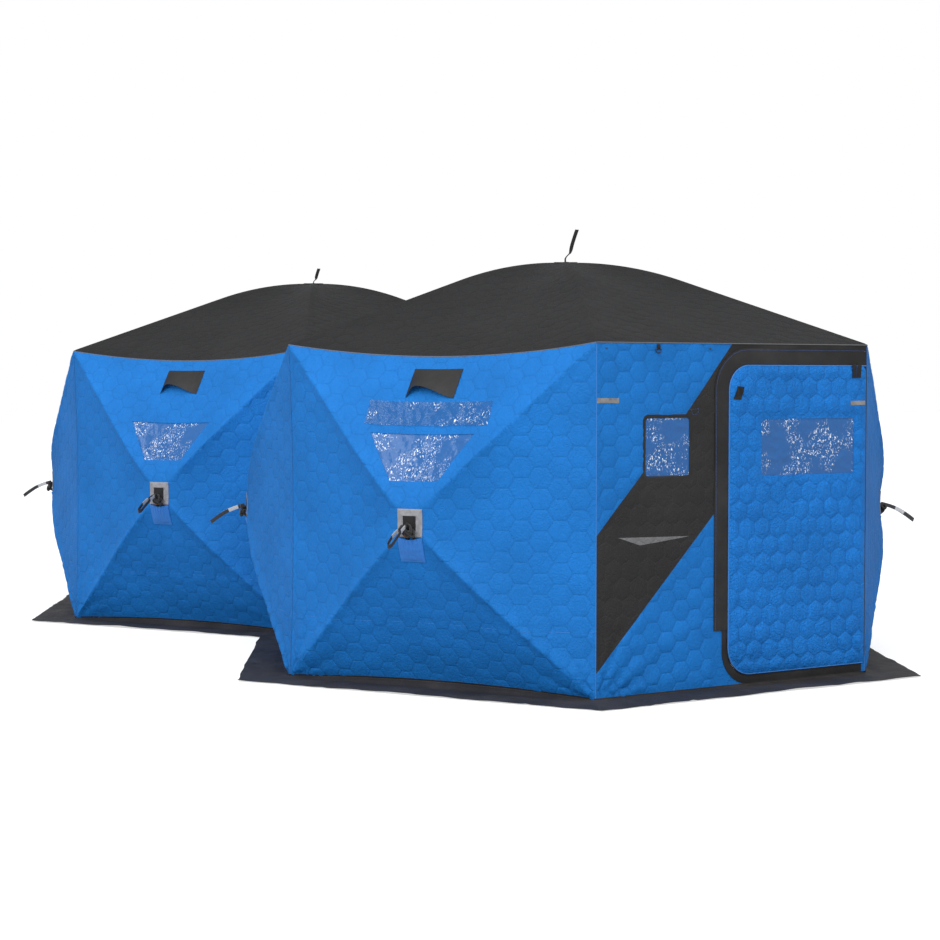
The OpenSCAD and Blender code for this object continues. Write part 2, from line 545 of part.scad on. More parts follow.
roof(false);  // front_roof
roof(true);  // rear_roof
color([0.2, 0.49, 0.8]) room(false) hub_wall(0);  // front_wall_window_side
color([0.2, 0.49, 0.8]) room(false) hub_wall(1);  // front_wall_inner_side
color([0.2, 0.49, 0.8]) room(false) hub_wall(2);  // front_wall_far_inner
color([0.2, 0.49, 0.8]) room(false) hub_wall(3);  // front_wall_far_outer
color([0.2, 0.49, 0.8]) room(true) hub_wall(2);  // rear_wall_window_side
color([0.2, 0.49, 0.8]) room(true) hub_wall(3);  // rear_wall_inner_side
color([0.2, 0.49, 0.8]) room(true) hub_wall(0);  // rear_wall_far_inner
color([0.2, 0.49, 0.8]) room(true) hub_wall(1);  // rear_wall_far_outer
door_wall_side(false);  // front_door_wall_side
door_wall_header(false);  // front_door_wall_header
door_wall_hinge_strip(false);  // front_door_wall_hinge_strip
door_wall_sill(false);  // front_door_wall_sill
door_wall_side(true);  // rear_door_wall_side
door_wall_header(true);  // rear_door_wall_header
door_wall_hinge_strip(true);  // rear_door_wall_hinge_strip
door_wall_sill(true);  // rear_door_wall_sill
door_panel(false);  // front_door_panel
door_window(false);  // front_door_window
door_flap(false);  // front_door_flap
hinge_tape(false);  // front_hinge_tape
door_panel(true);  // rear_door_panel
door_window(true);  // rear_door_window
door_flap(true);  // rear_door_flap
hinge_tape(true);  // rear_hinge_tape
window_panes(false);  // front_windows
window_panes(true);  // rear_windows
side_windows();
vent_hoods();
vent_screens();
skirt(false);  // front_skirt
skirt(true);  // rear_skirt
roof_rods(false);  // front_roof_rods
roof_rods(true);  // rear_roof_rods
wall_rods(false);  // front_wall_rods
wall_rods(true);  // rear_wall_rods
rod_tips();
roof_hubs();
wall_hubs(false);  // front_wall_hubs
wall_hubs(true);  // rear_wall_hubs
hub_patches();
hub_plates();
pull_straps();
rope_pockets();
roof_straps();
valley_strap();
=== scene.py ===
"""Twin-room pop-up ice fishing hut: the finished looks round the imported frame."""
import math

import bmesh
import bpy
import numpy as np
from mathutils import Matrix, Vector


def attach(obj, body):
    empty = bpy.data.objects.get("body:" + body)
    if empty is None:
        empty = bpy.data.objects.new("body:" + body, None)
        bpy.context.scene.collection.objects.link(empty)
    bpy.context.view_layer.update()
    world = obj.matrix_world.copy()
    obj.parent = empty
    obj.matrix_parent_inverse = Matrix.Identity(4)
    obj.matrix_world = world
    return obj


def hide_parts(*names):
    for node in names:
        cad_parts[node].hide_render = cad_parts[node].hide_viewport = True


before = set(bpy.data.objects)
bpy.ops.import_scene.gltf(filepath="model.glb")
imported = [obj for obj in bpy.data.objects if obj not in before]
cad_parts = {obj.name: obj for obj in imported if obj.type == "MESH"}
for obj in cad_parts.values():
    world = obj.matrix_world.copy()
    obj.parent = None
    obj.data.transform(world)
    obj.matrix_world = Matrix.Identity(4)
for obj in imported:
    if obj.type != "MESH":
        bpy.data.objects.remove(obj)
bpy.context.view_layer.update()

collection = bpy.context.scene.collection

# ---------------------------------------------------------------------------
# Rods, ferrules and tips: drawn glass fibre, black, with a moulded tip on each
# end. They are pushed into the hub sockets and spring the cloth tight. The packed
# pieces have the right shape, so they only take their finish here.


class Field:
    """A number that changes over a surface. Sums on it add Math nodes."""

    def __init__(self, tree, socket):
        self.tree, self.socket = tree, socket

    def math(self, operation, *others, turned=False):
        terms = [self, *others]
        node = add_node(self.tree, "ShaderNodeMath", {"operation": operation},
                        dict(enumerate(terms[::-1] if turned else terms)))
        return Field(self.tree, node.outputs[0])

    def __add__(self, other):
        return self.math("ADD", other)

    def __sub__(self, other):
        return self.math("SUBTRACT", other)

    def __rsub__(self, other):
        return self.math("SUBTRACT", other, turned=True)

    def __mul__(self, other):
        return self.math("MULTIPLY", other)

    def __truediv__(self, other):
        return self.math("DIVIDE", other)

    def __lt__(self, other):
        return self.math("LESS_THAN", other)

    __radd__, __rmul__ = __add__, __mul__

    def ramp(self, start, end):
        """0 up to start, 1 from end on, and smooth between."""
        node = add_node(self.tree, "ShaderNodeMapRange", {"interpolation_type": "SMOOTHSTEP"},
                        {0: self, 1: start, 2: end})
        return Field(self.tree, node.outputs[0])


def add_node(tree, kind, settings=None, values=None):
    """Adds a node: its settings first, then the values or links of its sockets."""
    node = tree.nodes.new(kind)
    for key, value in (settings or {}).items():
        setattr(node, key, value)
    for key, value in (values or {}).items():
        source = value.socket if isinstance(value, Field) else value
        if isinstance(source, bpy.types.NodeSocket):
            tree.links.new(source, node.inputs[key])
        else:
            node.inputs[key].default_value = source
    return node


class Finish:
    """A material: one Principled shader, its constants, and what drives it."""

    def __init__(self, name, **constants):
        self.material = bpy.data.materials.new(name)
        self.material.use_nodes = True
        self.tree = self.material.node_tree
        self.shader = self.tree.nodes["Principled BSDF"]
        for key, value in constants.items():
            self.shader.inputs[key.replace("_", " ")].default_value = value

    def node(self, kind, settings=None, values=None):
        return add_node(self.tree, kind, settings, values)

    def place(self, uv=None):
        """Position on the piece: the cloth's own flat layout, or the object's metres."""
        if uv:
            return self.node("ShaderNodeUVMap", {"uv_map": uv}).outputs[0]
        return self.node("ShaderNodeTexCoord").outputs["Object"]

    def axes(self, place):
        split = self.node("ShaderNodeSeparateXYZ", None, {0: place})
        return [Field(self.tree, s) for s in split.outputs]

    def noise(self, place, scale, detail=3.0, roughness=0.5, distortion=0.0):
        node = self.node("ShaderNodeTexNoise", None, {
            "Vector": place, "Scale": scale, "Detail": detail,
            "Roughness": roughness, "Distortion": distortion})
        return Field(self.tree, node.outputs[0])

    def stretched(self, place, scale):
        node = self.node("ShaderNodeVectorMath", {"operation": "MULTIPLY"},
                         {0: place, 1: scale})
        return node.outputs[0]

    def tint(self, share, low, high):
        """A colour from low to high as share goes from 0 to 1."""
        node = self.node("ShaderNodeMix", {"data_type": "RGBA"}, {0: share})
        for key, colour in ((6, low), (7, high)):
            if isinstance(colour, bpy.types.NodeSocket):
                self.tree.links.new(colour, node.inputs[key])
            else:
                node.inputs[key].default_value = (*colour, 1)
        return node.outputs[2]

    def drive(self, **sources):
        for key, source in sources.items():
            socket = source.socket if isinstance(source, Field) else source
            self.tree.links.new(socket, self.shader.inputs[key.replace("_", " ")])
        return self

    def relief(self, height, strength, distance):
        bump = self.node("ShaderNodeBump", None, {
            "Height": height, "Strength": strength, "Distance": distance})
        return self.drive(Normal=bump.outputs[0])


def shaded(colour, share, more=0.0):
    """A colour made darker or lighter."""
    return tuple(min(1, c * share + more) for c in colour)


def woven(u, v, pitch):
    """The crossing threads of a plain weave."""
    return (u * pitch).math("SINE") * (v * pitch).math("SINE")


def glass_fibre():
    f = Finish("glass_fibre_black", Specular_IOR_Level=0.5, Coat_Weight=0.3)
    place = f.place()
    grain = f.noise(place, 240, 4)
    wear = f.noise(place, 9, 4)
    f.drive(Base_Color=f.tint(wear.ramp(0.45, 0.8), (0.012, 0.012, 0.013), (0.04, 0.04, 0.042)),
            Roughness=0.3 + grain * 0.25)
    return f.relief(grain, 0.2, 0.0003).material


def moulded_plastic(name, colour, base=0.42):
    f = Finish(name, Specular_IOR_Level=0.45)
    place = f.place()
    pits = f.noise(place, 900, 2)
    scuffs = f.noise(place, 24, 5, 0.6)
    f.drive(Base_Color=f.tint(scuffs.ramp(0.5, 0.8), colour, shaded(colour, 1.7, 0.01)),
            Roughness=base + scuffs * 0.2)
    return f.relief(pits, 0.25, 0.0004).material


def finish_node(name, material):
    """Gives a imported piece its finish."""
    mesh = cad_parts[name].data
    mesh.materials.clear()
    mesh.materials.append(material)


rod_finish = glass_fibre()
for rod_node in ("front_roof_rods", "rear_roof_rods", "front_wall_rods", "rear_wall_rods"):
    finish_node(rod_node, rod_finish)
finish_node("rod_tips", moulded_plastic("tip_plastic_black", (0.02, 0.02, 0.021), 0.35))

# ---------------------------------------------------------------------------
# Hubs: injection-moulded black nylon discs with a socket for each rod end, one
# behind the middle of every bulging wall and one under each roof peak.

hub_finish = moulded_plastic("hub_nylon_black", (0.016, 0.016, 0.018))
for hub_node in ("roof_hubs", "front_wall_hubs", "rear_wall_hubs"):
    finish_node(hub_node, hub_finish)

# ---------------------------------------------------------------------------
# Hub walls: eight panels of blue polyester, quilted in hexagons over wadding and
# backed with a dark lining. Each is drawn out at its middle by a hub and ridged by
# the four rods behind it, with a window opening over the hub and, on four, a vent.

rooms = ((False, "front"), (True, "rear"))
side = 1.830                  # side of each hexagonal room
eave_height, hub_height, hub_reach = 1.816, 0.891, 0.290
fabric = 0.008                # face cloth, wadding and lining
eave_sag, hem_lift, seam_bow = 0.068, 0.026, 0.022
eave_inward = 0.9 * eave_sag
wall_straight, facet_keep = 0.56, 0.4
flat_depth = side * math.sqrt(3) / 2          # middle of a room to the flat of a wall
above_hub = eave_height - hub_height
cell_side = 0.062             # side of a quilted hexagon
cell_high = cell_side * math.sqrt(3)
hub_walls = [                 # name, turn, right and left seam bow, mitres, vent
    ("window_side", -60, (0, 1), (1, 1), True),
    ("inner_side", -120, (1, 0), (1, -1), False),
    ("far_inner", 120, (0, 1), (-1, 1), True),
    ("far_outer", 60, (1, 0), (1, 1), False)]
window_shares = [(z - hub_height) / above_hub for z in (1.106, 1.358)]
window_half = 0.612 / side / window_shares[1]
belt_height = 0.345           # the seam where the wall's lower cloth is joined on
patch_half = 0.0725           # the silver square over each hub


def sagging_share(z):
    """Share of the way from the hub to the eave at a height in the middle of a wall."""
    r = (z - hub_height) / above_hub
    return r + eave_sag / above_hub * r * r


vent_shares = [sagging_share(z) for z in (1.588, 1.672)]
vent_half = 0.190 / side / (sum(vent_shares) / 2)


def rise(share, steep, straight):
    """A bowed rod's rise at a share of its run: straight, then an arc level at the hub."""
    half = 0.0
    for _ in range(9):
        half = steep / (2 * straight / (1 - half * half) + 1 - straight)
    lean = 2 * math.atan(half)
    radius = (1 - straight) / math.sin(lean)
    arc = 1 - (radius - np.sqrt(np.maximum(radius ** 2 - (1 - share) ** 2, 0))) / steep
    return np.where(share < straight, share * math.tan(lean) / steep, arc)


def bulge(share, w, steep, straight):
    lift = rise(share, steep, straight) - share
    slack = (1 - facet_keep) * (1 - w * w) * np.clip((1 - share) / 0.25, 0, 1)
    return share + lift * (1 - slack)


wall_steep = hub_reach * 2 / (math.hypot(side / 2, above_hub) + math.hypot(side / 2, hub_height))


def wall_shares(u, v):
    """Share a of the way from the hub to the edge, place w along that edge, and side."""
    reach = np.where(v >= hub_height, (v - hub_height) / above_hub,
                     (hub_height - v) / hub_height)
    across = np.abs(u) / (side / 2)
    a = np.maximum(reach, across)
    safe = np.maximum(a, 1e-6)
    on_side = across > reach
    w = np.where(on_side, 2 * ((v - hub_height) / safe + hub_height) / eave_height - 1,
                 u / safe / (side / 2))
    return a, np.clip(w, -1, 1), on_side


def wall_shape(u, v, bows):
    """Flat cloth of a hub wall (u along it, v up) to its place: out, along, up."""
    a, w, on_side = wall_shares(u, v)
    up, q = v >= hub_height, 1 - w * w
    bow = np.where(on_side, np.where(u > 0, bows[0], bows[1]) * seam_bow, 0)
    edge_y = np.where(on_side, np.sign(u) * side / 2, w * side / 2)
    edge_z = np.where(on_side, eave_height * (1 + w) / 2, np.where(up, eave_height, 0))
    inward = np.where(on_side, math.sqrt(3) / 2 * bow, np.where(up, eave_inward, hem_lift))
    lift = np.where(on_side, 0, np.where(up, -eave_sag, hem_lift))
    return np.stack([
        hub_reach * bulge(1 - a, w, wall_steep, wall_straight) - inward * q * a * a,
        edge_y * a - np.sign(u) * bow / 2 * q * a * a,
        hub_height + (edge_z - hub_height) * a + lift * q * a * a], -1)


def wall_inside(p, u, v, mitres, depth=fabric):
    """The lining, straight behind the outside and mitred where panels meet."""
    a, w, on_side = wall_shares(u, v)
    m = a ** 20
    end = np.where(p[:, 1] > 0, mitres[0], mitres[1])
    drop = np.where(on_side, np.maximum(0, w) ** 4, np.where(v >= hub_height, 1, 0))
    return np.stack([p[:, 0] - depth * (1 + m * p[:, 0] / flat_depth),
                     p[:, 1] * (1 - m * end * depth / flat_depth),
                     p[:, 2] - depth * m * drop], -1)


def placed(p, turn, rear):
    """A wall's own frame to the hut's."""
    p = np.atleast_2d(p) + (flat_depth, 0, 0)
    t = math.radians(turn)
    x = p[:, 0] * math.cos(t) - p[:, 1] * math.sin(t) + flat_depth
    y = p[:, 0] * math.sin(t) + p[:, 1] * math.cos(t)
    return np.stack([-x, -y, p[:, 2]] if rear else [x, y, p[:, 2]], -1)


def waves(x, y, seed, detail=1):
    """Smooth seeded noise from -1 to 1 over x and y."""
    dice = np.random.RandomState(seed)
    table = dice.uniform(-1, 1, (64, 64))
    total, weight = 0, 1.0
    for _ in range(detail):
        xi, yi = np.floor(x).astype(int), np.floor(y).astype(int)
        fx, fy = x - xi, y - yi
        fx, fy = fx * fx * (3 - 2 * fx), fy * fy * (3 - 2 * fy)
        low = table[xi % 64, yi % 64] * (1 - fx) + table[(xi + 1) % 64, yi % 64] * fx
        high = table[xi % 64, (yi + 1) % 64] * (1 - fx) + table[(xi + 1) % 64, (yi + 1) % 64] * fx
        total = total + weight * (low * (1 - fy) + high * fy)
        x, y, weight = x * 2.1 + 7.3, y * 2.1 + 3.1, weight / 2
    return total


def smooth(x, start, end):
    t = np.clip((x - start) / (end - start), 0, 1)
    return t * t * (3 - 2 * t)


def from_stitching(u, v):
    """Distance from the closest line of quilting, and the number of the cell."""
    best, near_u, near_v, number = np.full(u.shape, 9.0), u * 0, u * 0, u * 0
    for odd in (0, 1):
        i = np.round((u / (1.5 * cell_side) - odd) / 2) * 2 + odd
        j = np.round(v / cell_high - odd / 2) + odd / 2
        du, dv = u - i * 1.5 * cell_side, v - j * cell_high
        closer = du * du + dv * dv < best
        best = np.where(closer, du * du + dv * dv, best)
        near_u, near_v = np.where(closer, du, near_u), np.where(closer, dv, near_v)
        number = np.where(closer, i * 131 + j * 17.5, number)
    slanted = np.abs(near_v) / 2 + np.abs(near_u) * math.sqrt(3) / 2
    return cell_high / 2 - np.maximum(np.abs(near_v), slanted), number


def puff(u, v, height, soft=0.03):
    """Height of the wadding between the lines of quilting, a little different by cell."""
    d, number = from_stitching(u, v)
    share = 1 - (1 - np.clip(d / soft, 0, 1)) ** 2.2
    return height * share * (1 + 0.25 * np.sin(number * 12.9898))


def quilted_flat(u_low, u_high, v_low, v_high, turned=False):
    """Flat cloth made of quilted hexagons, finely meshed beside each line.

    The hexagons stand on a side, or on a point where the cloth is cut turned."""
    if turned:
        u_low, u_high, v_low, v_high = v_low, v_high, -u_high, -u_low
    rim = []
    for k in range(6):
        one, two = (np.array([math.cos(math.radians(60 * n)), math.sin(math.radians(60 * n))])
                    * cell_side for n in (k, k + 1))
        rim += [one, (one + two) / 2]
    rim = np.array(rim)
    spots = np.concatenate([rim, rim * 0.94, rim * 0.8, rim * 0.45, [[0, 0]]])
    faces = [(r * 12 + k, r * 12 + (k + 1) % 12, r * 12 + 12 + (k + 1) % 12, r * 12 + 12 + k)
             for r in range(3) for k in range(12)]
    faces += [(36 + k, 36 + (k + 1) % 12, 48) for k in range(12)]
    columns = range(math.floor(u_low / 1.5 / cell_side) - 1,
                    math.ceil(u_high / 1.5 / cell_side) + 2)
    rows = range(math.floor(v_low / cell_high) - 1, math.ceil(v_high / cell_high) + 1)
    middles = [(i * 1.5 * cell_side, (j + i % 2 / 2) * cell_high) for i in columns for j in rows]
    points = np.concatenate([spots + m for m in middles])
    if turned:
        points = points[:, ::-1] * (-1, 1)
    mesh = bpy.data.meshes.new("flat")
    mesh.from_pydata(np.c_[points, points[:, 0] * 0], [],
                     [[n + 49 * c for n in f] for c in range(len(middles)) for f in faces])
    cloth = bmesh.new()
    cloth.from_mesh(mesh)
    bpy.data.meshes.remove(mesh)
    bmesh.ops.remove_doubles(cloth, verts=cloth.verts, dist=1e-5)
    return cloth


def cut(cloth, one, two, drop=False, near=None):
    """Cuts flat cloth along a line, and drops what lies to the right of it."""
    direction = Vector((two[0] - one[0], two[1] - one[1], 0))
    geometry = [*cloth.verts, *cloth.edges, *cloth.faces]
    if near:
        faces = [f for f in cloth.faces if near(*f.calc_center_median().xy)]
        edges = {e for f in faces for e in f.edges}
        geometry = [*{v for e in edges for v in e.verts}, *edges, *faces]
    bmesh.ops.bisect_plane(cloth, geom=geometry, dist=2e-5, plane_co=(*one, 0),
                           plane_no=(direction.y, -direction.x, 0), clear_outer=drop)


def cut_to(cloth, u0, u1, v0, v1):
    """Cuts flat cloth down to a rectangle."""
    for one, two in (((u0, 1), (u0, 0)), ((u1, 0), (u1, 1)),
                     ((0, v0), (1, v0)), ((1, v1), (0, v1))):
        cut(cloth, one, two, drop=True)


def trim(cloth, inside):
    """Drops the faces whose middle is inside an opening."""
    gone = [f for f in cloth.faces if inside(*f.calc_center_median().xy)]
    bmesh.ops.delete(cloth, geom=gone, context="FACES")


def flat_arrays(cloth):
    """Points and faces of flat cloth, tidied."""
    bmesh.ops.remove_doubles(cloth, verts=cloth.verts, dist=2e-4)
    loose = [v for v in cloth.verts if not v.link_faces]
    bmesh.ops.delete(cloth, geom=loose, context="VERTS")
    bmesh.ops.recalc_face_normals(cloth, faces=cloth.faces)
    cloth.verts.index_update()
    points = np.array([v.co.xy for v in cloth.verts])
    faces = [[v.index for v in (f.verts if f.normal.z > 0 else reversed(f.verts))]
             for f in cloth.faces]
    cloth.free()
    return points, faces


def outwards(points, faces):
    """The direction out of a sheet at each of its points."""
    mesh = bpy.data.meshes.new("shape")
    mesh.from_pydata(points, [], faces)
    normals = np.array([n.vector for n in mesh.vertex_normals])
    bpy.data.meshes.remove(mesh)
    return normals


def linked(name, data):
    piece = bpy.data.objects.new(name, data)
    collection.objects.link(piece)
    return piece


def lay_out(mesh, flat):
    """Gives each corner of a mesh its place on the flat cloth."""
    layout = mesh.uv_layers.new(name="cloth")
    corner = np.zeros(len(mesh.loops), int)
    mesh.loops.foreach_get("vertex_index", corner)
    layout.data.foreach_set("uv", flat[corner].astype(np.float32).ravel())


def lined_sheet(name, faces, outside, inside, flat, finishes, kinds=None):
    """A closed sheet from its outer and inner points. The inside takes the last finish."""
    count, last = len(outside), len(finishes) - 1
    seen = dict.fromkeys((p, q) for f in faces for p, q in zip(f, f[1:] + f[:1]))
    rims = [(q, p) for p, q in seen if (q, p) not in seen]
    every = faces + [[n + count for n in reversed(f)] for f in faces]
    every += [[p, q, q + count, p + count] for p, q in rims]
    mesh = bpy.data.meshes.new(name)
    mesh.from_pydata(np.concatenate([outside, inside]), [], every)
    kinds = [0] * len(faces) if kinds is None else list(kinds)
    mesh.polygons.foreach_set("material_index", kinds + [last] * len(faces) + [0] * len(rims))
    mesh.polygons.foreach_set("use_smooth", [True] * 2 * len(faces) + [False] * len(rims))
    lay_out(mesh, np.concatenate([flat, flat]))
    rim = {frozenset(r) for r in rims} | {frozenset((p + count, q + count)) for p, q in rims}
    sharp = mesh.attributes.new("sharp_edge", "BOOLEAN", "EDGE")
    sharp.data.foreach_set("value", [frozenset(e.vertices) in rim for e in mesh.edges])
    for finish in finishes:
        mesh.materials.append(finish)
    return linked(name, mesh)


def finished(piece, body, slot, *nodes):
    """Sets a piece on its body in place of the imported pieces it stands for."""
    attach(piece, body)
    if nodes:
        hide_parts(*nodes)
    return piece


def hexagon_field(f, place, turned=False):
    """In a finish: distance from the closest quilting line, and place along it."""
    u, v, _ = f.axes(place)
    if turned:
        u, v = v, u
    wide, high = 3 * cell_side, cell_high

    def wrapped(x, size, shift):
        return (x + shift).math("FLOORED_MODULO", size) - size / 2

    one = wrapped(u, wide, wide / 2), wrapped(v, high, high / 2)
    two = wrapped(u, wide, 0), wrapped(v, high, 0)
    first = (one[0] * one[0] + one[1] * one[1]) < (two[0] * two[0] + two[1] * two[1])
    du, dv = ((first * a + (1 - first) * b).math("ABSOLUTE") for a, b in zip(one, two))
    slanted = dv / 2 + du * (math.sqrt(3) / 2)
    flat_line = slanted < dv
    along = flat_line * du + (1 - flat_line) * (du / 2 - dv * (math.sqrt(3) / 2))
    return high / 2 - dv.math("MAXIMUM", slanted), along


def quilted_cloth(name, colour, thread, rough=0.54, groove_shade=0.2, turned=False, crumple=1.2):
    """Woven polyester face cloth, sewn down in hexagons with a matching thread, with painted shade
    in the grooves.
    """
    f = Finish(name, Sheen_Weight=0.02, Sheen_Roughness=0.4, Specular_IOR_Level=0.12)
    f.shader.inputs["Sheen Tint"].default_value = (*shaded(colour, 0.5, 0.5), 1)
    place = f.place("cloth")
    d, along = hexagon_field(f, place, turned)
    in_groove = 1 - d.ramp(0.0, 0.0055)
    stitch_pitch = 0.0052
    dash = (along * (2 * math.pi / stitch_pitch)).math("SINE").ramp(-0.5, 0.0)
    sewn_down = (1 - d.ramp(0.0009, 0.0016)) * dash
    u, v, _ = f.axes(place)
    weave = woven(u, v, 5200)
    patchy = f.noise(place, 2.3, 4, 0.55)
    fine = f.noise(place, 55, 4, 0.6)
    upright = f.noise(f.stretched(place, (2.2, 1, 1)), 15, 3, 0.55, 1.4)
    across = f.noise(f.stretched(place, (1, 1.7, 1)), 24, 2, 0.5, 0.8)
    pulled = (upright - 0.5).math("ABSOLUTE").ramp(0.0, 0.09) \
        + (across - 0.5).math("ABSOLUTE").ramp(0.0, 0.1) * 0.6
    tone = f.tint(patchy.ramp(0.25, 0.8), shaded(colour, 0.88), shaded(colour, 1.12))
    # painted shade: the cloth is darkened in the grooves along the quilting, where shadow would
    # fall
    tone = f.tint(in_groove * groove_shade, tone, shaded(colour, 0.3))
    f.drive(Base_Color=f.tint(sewn_down * 0.6, tone, thread),
            Roughness=rough + fine * 0.16 - sewn_down * 0.1)
    raised = weave * 0.05 + sewn_down * 0.3 + fine * 0.3 + pulled * crumple - in_groove * 0.6
    return f.relief(raised, 0.6, 0.002).material


def lining_cloth():
    f = Finish("lining_grey", Specular_IOR_Level=0.3)
    place = f.place("cloth")
    d, _ = hexagon_field(f, place)
    fine = f.noise(place, 40, 4)
    f.drive(Base_Color=f.tint(fine, (0.05, 0.055, 0.065), (0.09, 0.095, 0.11)),
            Roughness=0.5 + fine * 0.3)
    return f.relief(d.ramp(0, 0.012) + fine * 0.3, 0.6, 0.002).material


blue_quilt = quilted_cloth("quilt_blue", (0.0095, 0.15, 0.478), (0.014, 0.17, 0.515), crumple=0.9)
lining = lining_cloth()


def hub_wall_flat(vented):
    """Flat cloth of a hub wall, cut along the rods' ridges and round its openings."""
    cloth = quilted_flat(-side / 2, side / 2, 0, eave_height)
    half = side / 2
    cut_to(cloth, -half, half, 0, eave_height)
    cut(cloth, (0, hub_height), (1, hub_height))
    hub = (0, hub_height)
    for x in (-half, half):
        cut(cloth, hub, (x, eave_height), near=lambda u, v: v > hub_height)
        cut(cloth, hub, (x, 0), near=lambda u, v: v < hub_height)
    openings = [(window_shares, window_half)] + ([(vent_shares, vent_half)] if vented else [])
    for (low, high), wide in openings:
        z0, z1 = (hub_height + s * above_hub for s in (low, high))
        beside = wide * side / 2 * high + 0.05
        for z in (z0, z1):
            cut(cloth, (0, z), (1, z), near=lambda u, v: abs(u) < beside and abs(v - z) < 0.1)
        for x in (-1, 1):
            cut(cloth, hub, (x * wide * half, eave_height),
                near=lambda u, v: z0 < v < z1 and abs(u) < beside)
        trim(cloth, lambda u, v: z0 < v < z1
             and abs(u) < wide * half * (v - hub_height) / above_hub)
    return flat_arrays(cloth)


def gathers(u, v, corners, seed, wobble, waver, phase=0.0, clear=0.0):
    """Folds that fan out from corners, each a place, a depth, a reach and a count."""
    out = 0
    for cu, cv, deep, reach, folds in corners:
        du, dv = np.abs(u - cu), np.abs(v - cv)
        r, angle = np.hypot(du, dv), np.arctan2(dv, du)
        bent = angle * folds + wobble * waves(angle * waver[0], r * waver[1], seed) + phase
        fan = deep * np.sin(bent) * np.exp(-r / reach)
        out = out + (fan * smooth(r, 0.02, clear) if clear else fan)
    return out


def wall_creases(u, v, seed):
    """Slack, drag lines and gathers of a hub wall, as metres outwards."""
    low = 1 - smooth(v, 0.25, 0.85)
    drag = waves(u * 2.2, v * 13, seed) + 0.5 * waves(u * 5 + v * 2, v * 27, seed + 1)
    out = 0.0024 * low * drag
    out += 0.0016 * waves(u * 4.1, v * 4.1, seed + 2, 2)
    out += gathers(u, v, [(cu, cv, *fold) for cu in (-side / 2, side / 2)
                          for cv, *fold in ((0, 0.011, 0.2, 17), (eave_height, 0.0035, 0.16, 13))],
                   seed + 3, 2.2, (5, 6), seed, 0.09)
    # short pleats run up from the patch
    dv = v - hub_height
    r, angle = np.hypot(u, dv), np.arctan2(u, np.maximum(dv, 1e-3))
    out += 0.003 * np.sin(angle * 21 + 2 * waves(angle * 6, r * 9, seed + 4)) \
        * smooth(dv, 0.05, 0.09) * np.exp(-(r - 0.09) / 0.05 * (r > 0.09))
    # the rods stand up under the cloth along the four ridges
    reach = np.where(v >= hub_height, dv / above_hub, -dv / hub_height)
    ridge = (np.abs(u) / (side / 2) - reach) * 0.62
    out += smooth(wall_shares(u, v)[0], 0.08, 0.2) * (
        0.0028 * np.exp(-(ridge / 0.012) ** 2)
        - 0.002 * np.exp(-((np.abs(ridge) - 0.045) / 0.02) ** 2))
    out -= 0.0035 * np.exp(-((v - belt_height) / 0.007) ** 2)
    out += 0.0022 * np.exp(-((v - belt_height + 0.016) / 0.01) ** 2)
    return out


def wall_edges(u, v):
    """1 inside a hub wall, down to 0 at its seams and round its openings."""
    edge = smooth((1 - wall_shares(u, v)[0]) * side / 2, 0.0, 0.022)
    z0, z1 = (hub_height + s * above_hub for s in window_shares)
    out_of = np.maximum(np.maximum(z0 - v, v - z1),
                        np.abs(u) - window_half * side / 2 * (v - hub_height) / above_hub)
    sewn_on = np.maximum(np.abs(u) - patch_half, np.abs(v - 0.817) - 0.147)   # patch and pocket
    return edge * smooth(out_of, 0.0, 0.018) * smooth(sewn_on, -0.006, 0.014)


def wall_height(number, rear, u, v):
    """How far the quilt of a hub wall stands off its smooth shape."""
    quilting = puff(u, v, 0.0019, 0.024)
    return (quilting + wall_creases(u, v, 11 + 7 * number + 40 * rear)) * wall_edges(u, v)


flats = {vented: hub_wall_flat(vented) for vented in (False, True)}
for rear, room in rooms:
    for number, (_, turn, bows, mitres, vented) in enumerate(hub_walls):
        # the rear room is turned half round, so its walls take each other's names
        node = f"{room}_wall_{hub_walls[(number + 2 * rear) % 4][0]}"
        flat, faces = flats[vented]
        u, v = flat.T
        shape = wall_shape(u, v, bows)
        height = wall_height(number, rear, u, v)
        quilt = lined_sheet(
            node + "_quilt", faces,
            placed(shape + outwards(shape, faces) * height[:, None], turn, rear),
            placed(wall_inside(shape, u, v, mitres), turn, rear), flat, [blue_quilt, lining])
        finished(quilt, "hut", "wall_quilt", node)

# ---------------------------------------------------------------------------
# Wall windows: four clear vinyl sheets to a room, welded into the quilt over the
# hubs. The vinyl has been packed away folded, so it is crinkled all over.


def grid(rows, columns):
    """Faces of a plain grid, point i * columns + j, outwards where v runs up."""
    return [[i * columns + j, i * columns + j + 1, (i + 1) * columns + j + 1, (i + 1) * columns + j]
            for i in range(rows - 1) for j in range(columns - 1)]


def lattice(down, across):
    """The points of a grid, from the start, end and count of each way."""
    return (g.ravel() for g in np.meshgrid(np.linspace(*down), np.linspace(*across), indexing="ij"))


def gathered(parts):
    """Several sheets (faces, outside, inside, flat) as one."""
    faces, start = [], 0
    for part in parts:
        faces += [[n + start for n in f] for f in part[0]]
        start += len(part[1])
    return (faces, *(np.concatenate([p[n] for p in parts]) for n in (1, 2, 3)))


def sewn(name, parts, finish, body, slot, *nodes, **sheet):
    """Several sheets made one piece and set on its body."""
    piece = finished(lined_sheet(name, *gathered(parts), [finish, finish]), body, slot, *nodes)


